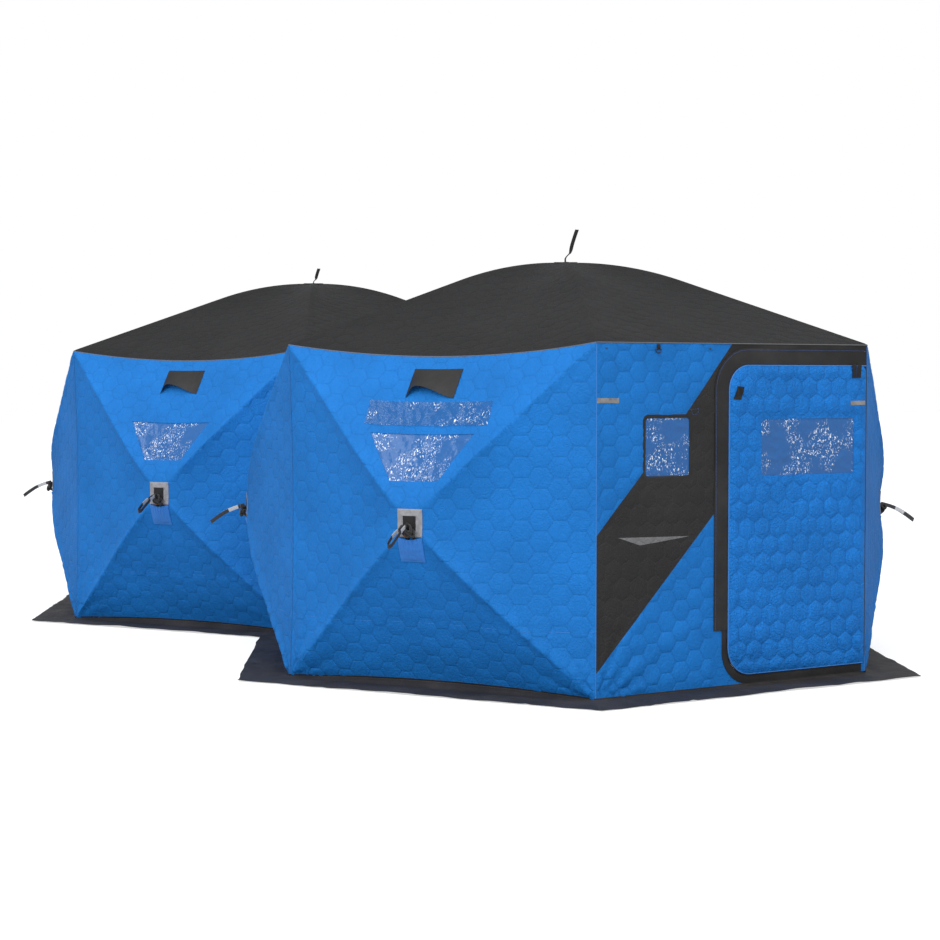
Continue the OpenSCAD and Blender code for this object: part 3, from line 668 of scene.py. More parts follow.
def vinyl(name, deep, cover, share):
    """Clear sheet over whatever is behind it, with painted highlights: near-white glints along
    crease-like lines and in spots.
    """
    f = Finish(name, IOR=1.5, Specular_IOR_Level=0.4, Coat_Weight=0.1, Coat_Roughness=0.03)
    place = f.place("cloth")
    broad = f.noise(place, 6, 2).ramp(share, share + 0.12)
    sharp = f.noise(f.stretched(place, (1.3, 0.8, 1)), 21, 2, 0.5, 1.6)
    breaks = f.noise(place, 60, 2, 0.5).ramp(0.5, 0.56)
    line = (1 - ((sharp - 0.5).math("ABSOLUTE") * 34).ramp(0.0, 1.0)) * breaks
    spots = f.noise(f.stretched(place, (1.5, 0.9, 1)), 74, 1, 0.5, 0.8).ramp(0.655, 0.69)
    # painted highlight: sparse lines and spots tint the sheet near white and make it more opaque,
    # standing in for reflections of the lamps
    painted_glint = (line + spots).ramp(0.0, 1.0) * broad
    f.drive(Base_Color=f.tint(painted_glint, deep, (0.94, 0.97, 1.0)), Roughness=0.1 + sharp * 0.1,
            Alpha=painted_glint * (1 - cover) + cover)
    return f.relief(sharp, 0.5, 0.004).material


def crinkles(u, v, seed):
    """The folds left in clear vinyl: sharp-edged waves, still at the welded edge."""
    one = waves(u * 19 + v * 6, v * 17, seed)
    two = waves(u * 41, v * 33 - u * 12, seed + 1)
    return 0.003 * (1 - 2 * np.abs(one)) + 0.0014 * (1 - 2 * np.abs(two))


window_vinyl = vinyl("window_vinyl", (0.025, 0.125, 0.37), 0.86, 0.44)
vinyl_thick = 0.0008


def wall_pane(number, rear, shares, half, rows, columns, thick, seed=None):
    """A sheet let into an opening of a hub wall."""
    _, turn, bows, mitres, _ = hub_walls[number]
    r, c = lattice((0, 1, rows), (-1, 1, columns))
    share = shares[0] + (shares[1] - shares[0]) * r
    u, v = c * half * share * side / 2, hub_height + share * above_hub
    shape = wall_shape(u, v, bows) - (fabric / 2 - thick / 2, 0, 0)
    edge = smooth(1 - np.abs(c), 0, 0.08) * smooth(np.minimum(r, 1 - r), 0, 0.12)
    push = crinkles(u, v, seed) * edge if seed else u * 0
    out = outwards(shape, grid(rows, columns))
    shape = shape + out * push[:, None]
    return (grid(rows, columns), placed(shape, turn, rear),
            placed(shape - out * thick, turn, rear), np.stack([u, v], -1))


for rear, room in rooms:
    parts = [wall_pane(n, rear, window_shares, window_half, 34, 64, vinyl_thick,
                       300 + 9 * n + 50 * rear) for n in range(4)]
    sewn(f"{room}_window_vinyl", parts, window_vinyl, "hut", "clear_sheet", f"{room}_windows",
         flat=(4 * 0.52, 0.26), held="stretched", rests_on=[f"{room}_wall_window_side"])

# ---------------------------------------------------------------------------
# Vents: a fly-mesh panel high in four of the walls, under a hood of coated black
# cloth that is sewn along its top and sides and propped open off its middle.


def coated_cloth(name, colour, rough=0.45, crease=0.5, uv="cloth"):
    """Plain-woven polyester with a rubbery coating, creased and a little dusty."""
    f = Finish(name, Specular_IOR_Level=0.25)
    place = f.place(uv)
    broad = f.noise(place, 3.1, 5, 0.6)
    folds = f.noise(place, 11, 6, 0.62, 0.8)
    u, v, _ = f.axes(place)
    weave = woven(u, v, 4300)
    f.drive(Base_Color=f.tint(broad.ramp(0.35, 0.75), colour, shaded(colour, 1.6, 0.006)),
            Roughness=rough + folds * 0.22)
    return f.relief(folds * crease + weave * 0.03, 0.55, 0.006).material


black_cloth = coated_cloth("coated_cloth_black", (0.016, 0.0152, 0.0155))


def fly_mesh():
    f = Finish("fly_mesh_black", Base_Color=(0.01, 0.01, 0.011, 1))
    u, v, _ = f.axes(f.place("cloth"))
    strands = ((u * 3800).math("SINE").math("MAXIMUM", (v * 3800).math("SINE"))).ramp(-0.2, 0.3)
    f.drive(Alpha=0.35 + strands * 0.65, Roughness=0.6 - strands * 0.1)
    return f.material


vented_walls = [(n, rear) for rear in (False, True) for n in (0, 2)]
sewn("vent_fly_mesh", [wall_pane(n, rear, vent_shares, vent_half, 8, 18, 0.0006)
                       for n, rear in vented_walls],
     fly_mesh(), "hut", "vent_mesh", "vent_screens",
     flat=(4 * 0.19, 0.085), held="stretched", rests_on=["vent_hoods"])

hood_shares = [sagging_share(z) for z in (1.532, 1.686)]
hood_wide, hood_reach, hood_thick = 0.286, 0.050, 0.0022


def vent_hood(number, rear, rows=22, columns=56):
    _, turn, bows, _, _ = hub_walls[number]
    y, x = lattice((1, 0, rows), (0, 1, columns))
    crest = np.where(x < 0.25, np.sin(2 * math.pi * x),
                     np.maximum(np.cos(np.radians((x - 0.25) * 120)), 0) ** 1.6)
    share = hood_shares[1] + (hood_shares[0] - hood_shares[1]) * y * (1 - 0.42 * y * crest)
    u = hood_wide * (x - 0.5) + 0.006 - 0.016 * y
    v = hub_height + share * above_hub
    shape = wall_shape(u, v, bows)
    creases = 0.0022 * waves(x * 7 + y * 2, y * 4, 71 + 3 * number + rear) \
        * smooth(y, 0, 0.3) * smooth(np.minimum(x, 1 - x), 0, 0.08)
    shape[:, 0] += 0.0055 + hood_reach * y ** 0.8 * crest + creases
    faces = grid(rows, columns)
    out = outwards(shape, faces)
    return (faces, placed(shape, turn, rear), placed(shape - out * hood_thick, turn, rear),
            np.stack([u, v], -1))


sewn("vent_hood_cloth", [vent_hood(n, rear) for n, rear in vented_walls],
     black_cloth, "hut", "black_cloth", "vent_hoods",
     flat=(4 * 0.29, 0.165), held="stretched", rests_on=["front_wall_window_side"])

# ---------------------------------------------------------------------------
# Door walls: one flat quilted panel at each end of the hut, cut out for the doorway
# and a small window. A black quilted stripe is let in across it, and a plain grey
# reflective wedge is printed on the stripe.

door_wall = {"way": (-0.040, 0.875, 0.087, 1.675), "window": (-0.610, -0.318, 1.125, 1.432)}
stripe_top = ((-0.915, 0.834), (-0.345, 1.447), (-0.061, 1.785))
stripe_low = ((-0.915, 0.135), (-0.156, 0.922))
wedge = ((-0.779, 0.822), (-0.639, 0.778), (-0.315, 0.813))
black_quilt = quilted_cloth("quilt_black", (0.029, 0.0285, 0.029), (0.066, 0.066, 0.07), 0.5,
                            turned=True)
wedge_print = quilted_cloth("quilt_printed_grey", (0.17, 0.17, 0.175), (0.17, 0.17, 0.175), 0.4,
                            turned=True)


def above(line, u, v):
    """Whether a point is over a line that runs left to right."""
    (u0, v0), (u1, v1) = line
    return v > v0 + (v1 - v0) * (u - u0) / (u1 - u0)


def cut_opening(cloth, box, radius=0.0):
    """Cuts out a rectangle with rounded corners."""
    u0, u1, v0, v1 = box

    def near(margin):
        return lambda u, v: u0 - margin < u < u1 + margin and v0 - margin < v < v1 + margin

    for one, two in (((u0, 0), (u0, 1)), ((u1, 0), (u1, 1)),
                     ((0, v0), (1, v0)), ((0, v1), (1, v1))):
        cut(cloth, one, two, near=near(0.08))
    corners = [(cu, cv, su, sv) for cu, su in ((u0 + radius, -1), (u1 - radius, 1))
               for cv, sv in ((v0 + radius, -1), (v1 - radius, 1))] if radius else []
    for cu, cv, su, sv in corners:
        for angle in (15, 45, 75):
            n = np.array([su * math.cos(math.radians(angle)), sv * math.sin(math.radians(angle))])
            p = np.array([cu, cv]) + n * radius
            cut(cloth, p, p + (n[1], -n[0]),
                near=lambda u, v: (u - cu) * su > -0.004 and (v - cv) * sv > -0.004
                and near(0)(u, v))

    def inside(u, v):
        du = max(u0 + radius - u, u - u1 + radius, 0)
        dv = max(v0 + radius - v, v - v1 + radius, 0)
        return near(0)(u, v) and math.hypot(du, dv) <= max(radius * 0.985, 1e-9)

    trim(cloth, inside)


def in_stripe(u, v):
    """Whether a place on the door wall is on its black cloth."""
    under = ~np.where(u < stripe_top[1][0],
                      above(stripe_top[:2], u, v), above(stripe_top[1:], u, v))
    return (under & above(stripe_low, u, v) & (u < 0)) | ((v > 1.6) & (u >= 0))


def from_line(line, u, v):
    (u0, v0), (u1, v1) = line
    return np.abs((u1 - u0) * (v - v0) - (v1 - v0) * (u - u0)) / math.dist(*line)


def door_wall_part(black):
    """Flat cloth of the blue panel or of the black stripe, with each face's finish."""
    cloth = quilted_flat(-side / 2, side / 2, 0, eave_height, black)
    cut_to(cloth, -side / 2, side / 2, 0, eave_height)
    cut_opening(cloth, door_wall["way"])
    cut_opening(cloth, door_wall["window"], 0.02)
    cut(cloth, *stripe_top[:2], near=lambda u, v: u < -0.30)
    cut(cloth, *stripe_top[1:], near=lambda u, v: -0.37 < u < 0 and v > 1.3)
    cut(cloth, *stripe_low, near=lambda u, v: u < -0.03 and v < 1.2)
    cut(cloth, (0, 0), (0, 1), near=lambda u, v: v > 1.6 and abs(u) < 0.1)
    for one, two in zip(wedge, wedge[1:] + wedge[:1]):
        cut(cloth, one, two, near=lambda u, v: -0.80 < u < -0.29 and 0.74 < v < 0.86)
    trim(cloth, lambda u, v: bool(in_stripe(u, v)) != black)
    points, faces = flat_arrays(cloth)
    kinds = []
    for f in faces:
        u, v = points[f].mean(0)
        printed = above((wedge[0], wedge[1]), u, v) and above((wedge[1], wedge[2]), u, v) \
            and not above((wedge[0], wedge[2]), u, v)
        kinds.append(0 if not black else 3 if v > 1.77 else 2 if printed else 1)
    return points, faces, kinds


def door_wall_creases(u, v, seed):
    out = 0.002 * waves(u * 6, v * 5, seed, 2)
    out += 0.0022 * (1 - smooth(v, 0.2, 0.9)) * waves(u * 3.5, v * 15, seed + 1)
    out += gathers(u, v, ((-0.915, 0, 0.013, 0.24, 15), (-0.915, 1.816, 0.004, 0.15, 11),
                          (0.915, 0, 0.006, 0.12, 13)), seed + 2, 2, (5, 7), 0, 0.1)
    # drag lines across the slack cloth from the window to the stripe's foot
    return out + 0.0018 * waves((u + v) * 12, (u - v) * 3, seed + 4)


def from_box(u, v, box):
    return np.maximum(np.maximum(box[0] - u, u - box[1]), np.maximum(box[2] - v, v - box[3]))


def door_wall_height(rear, u, v):
    """How far the quilt of a door wall stands off its plane."""
    stripe = in_stripe(u, v)
    wadding = np.where(stripe, 0.6 * puff(v, -u, 0.0042, 0.036), puff(u, v, 0.0042, 0.036))
    seam = np.minimum(from_line(stripe_low, u, v), np.where(
        u < stripe_top[1][0], from_line(stripe_top[:2], u, v), from_line(stripe_top[1:], u, v)))
    free = smooth(side / 2 - np.abs(u), 0, 0.02) * smooth(v, 0, 0.03)
    free = free * smooth(eave_height - v, 0, 0.02)
    free = free * smooth(from_box(u, v, door_wall["window"]), 0.012, 0.03)
    free = free * np.where(u < 0, 0.25 + 0.75 * smooth(seam, 0, 0.014), 1)
    under = smooth(from_box(u, v, (-0.162, 0.93, 0.02, 1.83)), 0.0, 0.015)
    height = (wadding + door_wall_creases(u, v, 131 + 17 * rear)) * free
    height -= 0.0016 * np.exp(-((v - 1.105) / 0.005) ** 2) * (np.abs(u + 0.455) < 0.19)
    return height * under - 0.0006 * (1 - under)


cloths = [door_wall_part(black) for black in (False, True)]
for rear, room in rooms:
    parts = []
    for flat, faces, kinds in cloths:
        u, v = flat.T
        m, n = (np.abs(u) * 2 / side) ** 20, (v / eave_height) ** 20
        shape = np.stack([door_wall_height(rear, u, v), u, v], -1)
        inside = np.stack([u * 0 - fabric, u * (1 - m * fabric / math.sqrt(3) * 2 / side),
                           v - fabric * n], -1)
        parts.append((faces, placed(shape, 0, rear), placed(inside, 0, rear), flat))
    panel = lined_sheet(f"{room}_door_wall_quilt", *gathered(parts),
                        [blue_quilt, black_quilt, wedge_print, black_cloth, lining],
                        cloths[0][2] + cloths[1][2])
    finished(panel, "hut", "wall_quilt", *(f"{room}_door_wall_{p}" for p in (
        "side", "header", "hinge_strip", "sill")))

# ---------------------------------------------------------------------------
# Side windows: a small clear sheet in each door wall, bound round with black tape
# that is sewn down on both edges.


def flat_pane(box, x, seed, rear, rows=40, columns=44):
    v, u = lattice((box[2], box[3], rows), (box[0], box[1], columns))
    edge = smooth(-from_box(u, v, box), 0, 0.03)
    shape = np.stack([x + crinkles(u, v, seed) * edge, u, v], -1)
    return (grid(rows, columns), placed(shape, 0, rear),
            placed(shape - (vinyl_thick, 0, 0), 0, rear), np.stack([u, v], -1))


def tape_round(box, x, wide, thick, rear, radius=0.02, lap=0.004, rows=5):
    """A flat tape round an opening, as a closed sheet: across it, then round it."""
    u0, u1, v0, v1 = box
    path = []
    for cu, cv, start in ((u1, v0, -90), (u1, v1, 0), (u0, v1, 90), (u0, v0, 180)):
        su, sv = (1 if cu == u1 else -1), (1 if cv == v1 else -1)
        for k in range(7):
            a = math.radians(start + 15 * k)
            path.append((cu - su * radius, cv - sv * radius, math.cos(a), math.sin(a)))
    count, faces, points = len(path), [], []
    for k, (cu, cv, nu, nv) in enumerate(path):
        for r in range(rows):
            reach = radius - lap + (wide + lap) * r / (rows - 1)
            dome = thick * (0.55 + 0.45 * math.sin(math.pi * r / (rows - 1)))
            points.append((x + dome, cu + nu * reach, cv + nv * reach))
            if r < rows - 1:
                a, b = k * rows + r, (k + 1) % count * rows + r
                faces.append([a, a + 1, b + 1, b])
    shape = np.array(points)
    inner = shape * (0, 1, 1) + (x, 0, 0)
    return faces, placed(shape, 0, rear), placed(inner, 0, rear), shape[:, 1:]


sewn("side_window_vinyl", [flat_pane(door_wall["window"], -0.003, 401 + rear, rear)
                           for rear in (False, True)],
     window_vinyl, "hut", "clear_sheet", "side_windows",
     flat=(2 * 0.292, 0.307), held="stretched", rests_on=["front_door_wall_side"])
sewn("side_window_binding", [tape_round(door_wall["window"], -0.0006, 0.014, 0.0022, rear)
                             for rear in (False, True)], black_cloth, "hut", "black_cloth")

# ---------------------------------------------------------------------------
# Doors: a loose quilted panel that hangs from a bead down one edge and zips shut
# along the other. It is softer than the walls, so it is puffed and creased, and
# has a clear window with a turned edge.

door_box = (-0.065, 0.900, 0.062, 1.700)
door_window = (0.153, 0.810, 1.115, 1.415)
door_radii = (0.150, 0.040, 0.040, 0.130)     # low left, low right, top right, top left
door_behind, door_face = 0.005, 0.013


def cut_corner(cloth, cu, cv, su, sv, radius, steps=8):
    """Rounds an outer corner of flat cloth."""
    for k in range(steps):
        a = math.pi / 2 * (k + 0.5) / steps
        n = np.array([su * math.cos(a), sv * math.sin(a)])
        p = np.array([cu, cv]) + n * radius
        cut(cloth, p, p + (-n[1], n[0]), drop=True,
            near=lambda u, v: (u - cu) * su > -1e-4 and (v - cv) * sv > -1e-4)


def corners_of(box):
    """The corners from low left round, each with the way in from it."""
    u0, u1, v0, v1 = box
    return (u0, 1, v0, 1), (u1, -1, v0, 1), (u1, -1, v1, -1), (u0, 1, v1, -1)


def door_flat():
    cloth = quilted_flat(*door_box, True)
    cut_to(cloth, *door_box)
    for (cu, su, cv, sv), radius in zip(corners_of(door_box), door_radii):
        pu, pv = cu + su * radius, cv + sv * radius
        for one, two in (((pu, 0), (pu, 1)), ((0, pv), (1, pv))):
            cut(cloth, one, two, near=lambda u, v: max(abs(u - cu), abs(v - cv)) < radius + 0.1)
        cut_corner(cloth, pu, pv, -su, -sv, radius)
    cut_opening(cloth, door_window, 0.02)
    return flat_arrays(cloth)


def from_round_box(u, v, box, radii):
    """Distance inside a rectangle whose corners are rounded."""
    best = -from_box(u, v, box)
    for (cu, su, cv, sv), radius in zip(corners_of(box), radii):
        du, dv = (cu + su * radius - u) * su, (cv + sv * radius - v) * sv
        best = np.where((du > 0) & (dv > 0), radius - np.hypot(du, dv), best)
    return best


def door_creases(u, v, seed):
    """Creases of hanging quilt: drapes from the top corners, cross folds below."""
    out = 0.0035 * waves(u * 9 + v, v * 8, seed, 2)
    out += 0.0035 * waves(u * 4 + 0.7 * np.sin(v * 6), v * 19 + 5 * u, seed + 1) \
        * (0.5 + 0.5 * waves(u * 3, v * 3, seed + 5))
    return out + gathers(u, v, (
        (0.9, 0.062, 0.006, 0.3, 14), (-0.065, 1.7, 0.005, 0.3, 9),
        (0.9, 1.7, 0.005, 0.22, 9), (0.0, 0.1, 0.005, 0.28, 11)), seed + 2, 2.5, (4, 6))


def door_height(rear, u, v):
    """How far the quilt of a door stands off its plane."""
    edge = from_round_box(u, v, door_box, door_radii)
    free = smooth(edge, 0.0, 0.04) * smooth(from_box(u, v, door_window), 0.008, 0.035)
    height = 0.004 + puff(v, -u, 0.0062, 0.045) + door_creases(u, v, 211 + 31 * rear)
    height = np.clip(height, -0.002, 0.02) * free
    return height - 0.003 * np.exp(-((v - 1.095) / 0.006) ** 2) * (np.abs(u - 0.47) < 0.36)


door_quilt = quilted_cloth("quilt_blue_door", (0.0105, 0.164, 0.54), (0.015, 0.185, 0.58),
                           turned=True, groove_shade=0.32, crumple=3.0)
flat, faces = door_flat()
u, v = flat.T
edge = from_round_box(u, v, door_box, door_radii)
door_bodies = ((False, "front", "front_door"), (True, "rear", "hut"))
for rear, room, body in door_bodies:
    height = door_height(rear, u, v)
    roll = 0.003 * (1 - smooth(edge, 0, 0.008))
    shape = np.stack([door_face + height - roll, u, v], -1)
    inside = np.stack([door_behind + roll * 0.6 + np.maximum(height, 0) * 0.35, u, v], -1)
    door = lined_sheet(f"{room}_door_quilt", faces, placed(shape, 0, rear),
                       placed(inside, 0, rear), flat, [door_quilt, lining])
    finished(door, body, "wall_quilt", f"{room}_door_panel")
    sewn(f"{room}_door_vinyl", [flat_pane(door_window, 0.0105, 421 + rear, rear, 44, 84)],
         window_vinyl, body, "clear_sheet", f"{room}_door_window",
         flat=(0.657, 0.3), held="stretched", rests_on=[f"{room}_door_panel"])
    finish_node(f"{room}_hinge_tape",
                coated_cloth(f"hinge_tape_{room}", (0.02, 0.02, 0.02), uv=None))

# ---------------------------------------------------------------------------
# Door flaps: a strip of coated cloth sewn beside and over each door to keep the
# wind off the zip, with a narrow binding that carries on round the foot.

flap_path = {"wide": 0.086, "narrow": 0.030, "gap": 0.005, "end": 0.303}


def run_along(path):
    """How far along a path each of its points is."""
    steps = np.linalg.norm(np.diff(path, axis=0), axis=1)
    return np.concatenate([[0], np.cumsum(steps)])


def beside_door(start, finish, reach, step=0.02):
    """Points along the door's free edge, from start to finish metres: place and outward."""
    u0, u1, v0, v1 = door_box
    low, top = door_radii[0], door_radii[3]
    points = []

    def line(one, two, n):
        count = max(2, int(math.dist(one, two) / step))
        points.extend((one[0] + (two[0] - one[0]) * k / count,
                       one[1] + (two[1] - one[1]) * k / count, *n) for k in range(count))

    def turn(cu, cv, radius, start_angle):
        for k in range(12):
            a = math.radians(start_angle - 90 * k / 12)
            points.append((cu + radius * math.cos(a), cv + radius * math.sin(a),
                           math.cos(a), math.sin(a)))
    line((u1 - 0.012, v0), (u0 + low, v0), (0, -1))
    turn(u0 + low, v0 + low, low, 270)
    line((u0, v0 + low), (u0, v1 - top), (-1, 0))
    turn(u0 + top, v1 - top, top, 180)
    line((u0 + top, v1), (u1, v1), (0, 1))
    points = np.array([*points, (u1, v1, 0, 1)])
    points[:, :2] += points[:, 2:] * reach
    run = run_along(points[:, :2])
    finish = min(finish, run[-1])
    want = np.append(np.arange(max(0, start), finish + 1e-9, step), finish)
    return np.stack([np.interp(want, run, points[:, k]) for k in range(4)], -1), want


def strip_beside_door(start, finish, wide, x, lift, rear, seed, rows=9):
    """A strip of cloth laid beside the door's free edge."""
    path, run = beside_door(start, finish, flap_path["gap"], 0.012)
    s = np.tile(np.linspace(0, 1, rows), len(path))
    pu, pv, nu, nv = (np.repeat(c, rows) for c in path.T)
    reach = s * (wide + (wide < 0.05) * 0.016 * np.maximum(0, -nv))
    flat = np.stack([np.repeat(run, rows), reach], -1)
    ripple = waves(flat[:, 0] * 11, flat[:, 1] * 8, seed, 2)
    x = x + lift * (1 - s) ** 1.5 + 0.0016 * (1 + ripple) * np.sin(np.pi * np.clip(s + 0.1, 0, 1))
    shape = np.stack([x, pu + nu * reach, pv + nv * reach], -1)
    faces = [f[::-1] for f in grid(len(path), rows)]
    faces = [f[-1:] + f[:-1] for f in faces]
    return faces, placed(shape, 0, rear), placed(shape - (0.0024, 0, 0), 0, rear), flat


edge_path, edge_run = beside_door(0, 9, flap_path["gap"], 0.01)
rising = np.argmax((edge_path[:, 2] < -0.99) & (edge_path[:, 1] > flap_path["end"]))
flap_start = float(edge_run[rising])
for rear, room in rooms:
    parts = [strip_beside_door(flap_start, 9, flap_path["wide"], 0.0036, 0.004, rear, 501 + rear),
             strip_beside_door(0, flap_start + 0.05, flap_path["narrow"], 0.0028, 0.0, rear,
                               511 + rear, 5)]
    sewn(f"{room}_door_flap_cloth", parts, black_cloth, "hut", "black_cloth", f"{room}_door_flap",
         flat=(2.45, 0.13), held="stretched", rests_on=[f"{room}_door_wall_side"])

# ---------------------------------------------------------------------------
# Roofs: six quilted gores of charcoal polyester to a room, felled together along
# the ridges over the rods and drawn down to a drooping eave over each hub wall.

peak_height, roof_straight, seam_gap = 2.310, 0.60, 0.0005
roof_steep = (peak_height - eave_height) / side
drooping = np.array([0, 1, 1, 0, 1, 1])       # gores that face 0, 60, 120 ... degrees


def gore(x, y):
    """Which gore a plan position is in, its share from the peak, and place along."""
    facet = np.round(np.degrees(np.arctan2(y, x)) / 60).astype(int) % 6
    turn = np.radians(60.0 * facet)
    a = (x * np.cos(turn) + y * np.sin(turn)) / flat_depth
    w = (y * np.cos(turn) - x * np.sin(turn)) / np.maximum(a * side / 2, 1e-6)
    return facet, turn, a, np.clip(w, -1, 1)


def roof_shape(x, y):
    facet, turn, a, w = gore(x, y)
    q = drooping[facet] * (1 - w * w)
    out, along = a * flat_depth - eave_inward * q * a * a, a * w * side / 2
    z = eave_height - eave_sag * q * a * a \
        + (peak_height - eave_height) * bulge(1 - a, w, roof_steep, roof_straight)
    return np.stack([out * np.cos(turn) - along * np.sin(turn),
                     out * np.sin(turn) + along * np.cos(turn), z + seam_gap], -1)


def roof_flat():
    cloth = quilted_flat(-side, side, -flat_depth, flat_depth)
    for k in range(6):
        n = np.array([-math.sin(math.radians(60 * k)), math.cos(math.radians(60 * k))])
        cut(cloth, n * flat_depth, n * flat_depth + (-n[1], n[0]), drop=True)
    for angle in (30, 90, 150):
        cut(cloth, (0, 0), (-math.sin(math.radians(angle)), math.cos(math.radians(angle))))
    return flat_arrays(cloth)


def at_peak(p, rear):
    """A room's own frame to the hut's."""
    p = np.atleast_2d(p) + (flat_depth, 0, 0)
    return p * (-1, -1, 1) if rear else p


roof_quilt = quilted_cloth("quilt_charcoal", (0.0195, 0.0195, 0.0203), (0.033, 0.033, 0.035),
                           0.58, 0.35)
flat, faces = roof_flat()
u, v = flat.T
shape = roof_shape(v, -u)
normal = outwards(shape, faces)
_, _, share, along = gore(v, -u)
to_eave = (1 - share) * flat_depth
to_ridge = (1 - np.abs(along)) * share * side / 2
for rear, room in rooms:
    seed = 611 + 13 * rear
    folds = 0.0022 * waves(u * 4, v * 4, seed, 2)
    for k in range(6):
        turn = math.radians(60 * k + 30)
        du, dv = u + side * math.sin(turn), v - side * math.cos(turn)
        r, angle = np.hypot(du, dv), np.arctan2(dv, du)
        folds += 0.004 * np.sin(angle * 13 + 2 * waves(angle * 4 + k, r * 6, seed + 1)) \
            * np.exp(-r / 0.16)
    height = (puff(u, v, 0.002, 0.024) + folds) \
        * smooth(to_eave, 0, 0.025) * smooth(to_ridge, 0.0, 0.02)
    height += 0.002 * np.exp(-(to_ridge / 0.012) ** 2)
    height -= 0.0015 * np.exp(-((to_ridge - 0.05) / 0.02) ** 2)
    height *= smooth(to_eave, 0, 0.01)
    inside = shape * (1 - fabric / flat_depth, 1 - fabric / flat_depth, 1) - (0, 0, fabric)
    roof = lined_sheet(f"{room}_roof_quilt", faces, at_peak(shape + normal * height[:, None], rear),
                       at_peak(inside, rear), flat, [roof_quilt, lining])
    finished(roof, "hut", "roof_quilt", f"{room}_roof")

# ---------------------------------------------------------------------------
# Skirts: a strip of coated black cloth round each room, sewn to the foot of the
# walls and spread flat on the ice, where snow is piled on it. Corners are mitred.

skirt_wide, skirt_lap = 0.280, 0.014
skirt_cloth = coated_cloth("skirt_cloth_black", (0.021, 0.019, 0.019), 0.5, 0.8)


def skirt_sheet(rear, columns=72):
    across = [(0, k / 3) for k in range(3)] + [(1, k / 5) for k in range(5)] \
        + [(2, k / 14) for k in range(15)]
    order = [(-120, (1, -1), True), (-60, (1, 1), True), (0, (1, 1), False),
             (60, (1, 1), True), (120, (-1, 1), True)]
    lap_height = hub_height * (1 - (1 - skirt_lap / hub_height))

    def lean(w):
        """How far a hub wall leans out over the height of the skirt's lap."""
        top, foot = (wall_shape(np.array([w * side / 2 * share]), np.array([v]), (0, 0))[0, 0]
                     for share, v in ((1 - skirt_lap / hub_height, lap_height), (1, 0.0)))
        return float(top - foot)
    place, flat = [], []
    for number, (turn, mitre, hollow) in enumerate(order):
        for c in range(columns + (number == 4)):
            w = -1 + 2 * c / columns
            q = (1 - w * w) * hollow
            foot, lift = -hem_lift * q + 0.0015, hem_lift * q
            knots = [(foot + (lean(w) if hollow else 0) + 0.0025, lift + skirt_lap),
                     (foot + 0.003, lift + 0.005), (foot + 0.044 + lift, 0.0035),
                     (skirt_wide, 0.0035)]
            row = []
            for part, s in across:
                (x0, z0), (x1, z1) = knots[part], knots[part + 1]
                ease = s * s * (3 - 2 * s) if part == 1 else s
                x, z = x0 + (x1 - x0) * s, z0 + (z1 - z0) * ease
                y = w * (side / 2 + mitre[w <= 0] * x * math.tan(math.radians(30)))
                row.append((x, y, z))
            place.append(placed(np.array(row), turn, rear))
            flat.append([(number * side + y, x) for x, y, _ in row])
    faces = [[f[3], f[0], f[1], f[2]] for f in grid(len(place), len(across))]
    place, flat = np.array(place), np.array(flat)
    run, out = flat[..., 0], flat[..., 1]
    seed = 701 + rear
    folds = waves(run * 7, out * 9, seed, 2)
    ridges = np.maximum(0, 1 - np.abs(waves(run * 5 + out * 3, out * 2.5, seed + 1)) * 7)
    height = 0.0045 * (1 + folds)
    height += 0.006 * ridges * smooth(np.abs(waves(run * 2, out * 2, seed + 2)), 0.2, 0.6)
    height += 0.008 * smooth(out, 0.2, 0.28) \
        * np.maximum(0, waves(run * 3.3, run * 0 + 2.5, seed + 3)) ** 2
    place[..., 2] += height * smooth(out, 0.05, 0.12)
    # the edge wanders in a little, as a cut edge does
    pull = 0.006 * (1 + waves(run * 6, out * 0, seed + 4)) * smooth(out, 0.12, 0.28)
    toward = np.array([-flat_depth if rear else flat_depth, 0]) - place[..., :2]
    toward /= np.linalg.norm(toward, axis=-1, keepdims=True)
    place[..., :2] += toward * pull[..., None]
    outside = place.reshape(-1, 3)
    normal = outwards(outside, faces)
    if normal[:, 2].mean() < 0:
        faces = [f[::-1] for f in faces]
        normal = -normal
    inside = outside - normal * 0.0022
    inside[:, 2] = np.maximum(inside[:, 2], 0.0002)
    return faces, outside, inside, flat.reshape(-1, 2)


for rear, room in rooms:
    sewn(f"{room}_skirt_cloth", [skirt_sheet(rear)], skirt_cloth, "hut", "skirt_cloth",
         f"{room}_skirt", flat=(9.9, 0.31), area=2.85, held="laid",
         rests_on=[f"{room}_door_wall_side"])

# ---------------------------------------------------------------------------
# Seams: a thin pale cord is piped into the eave all round each room, the wall
# panels are joined with a blue welt down each corner, and a fine cord marks the
# belt seam. All of them are tubes that follow the cloth.


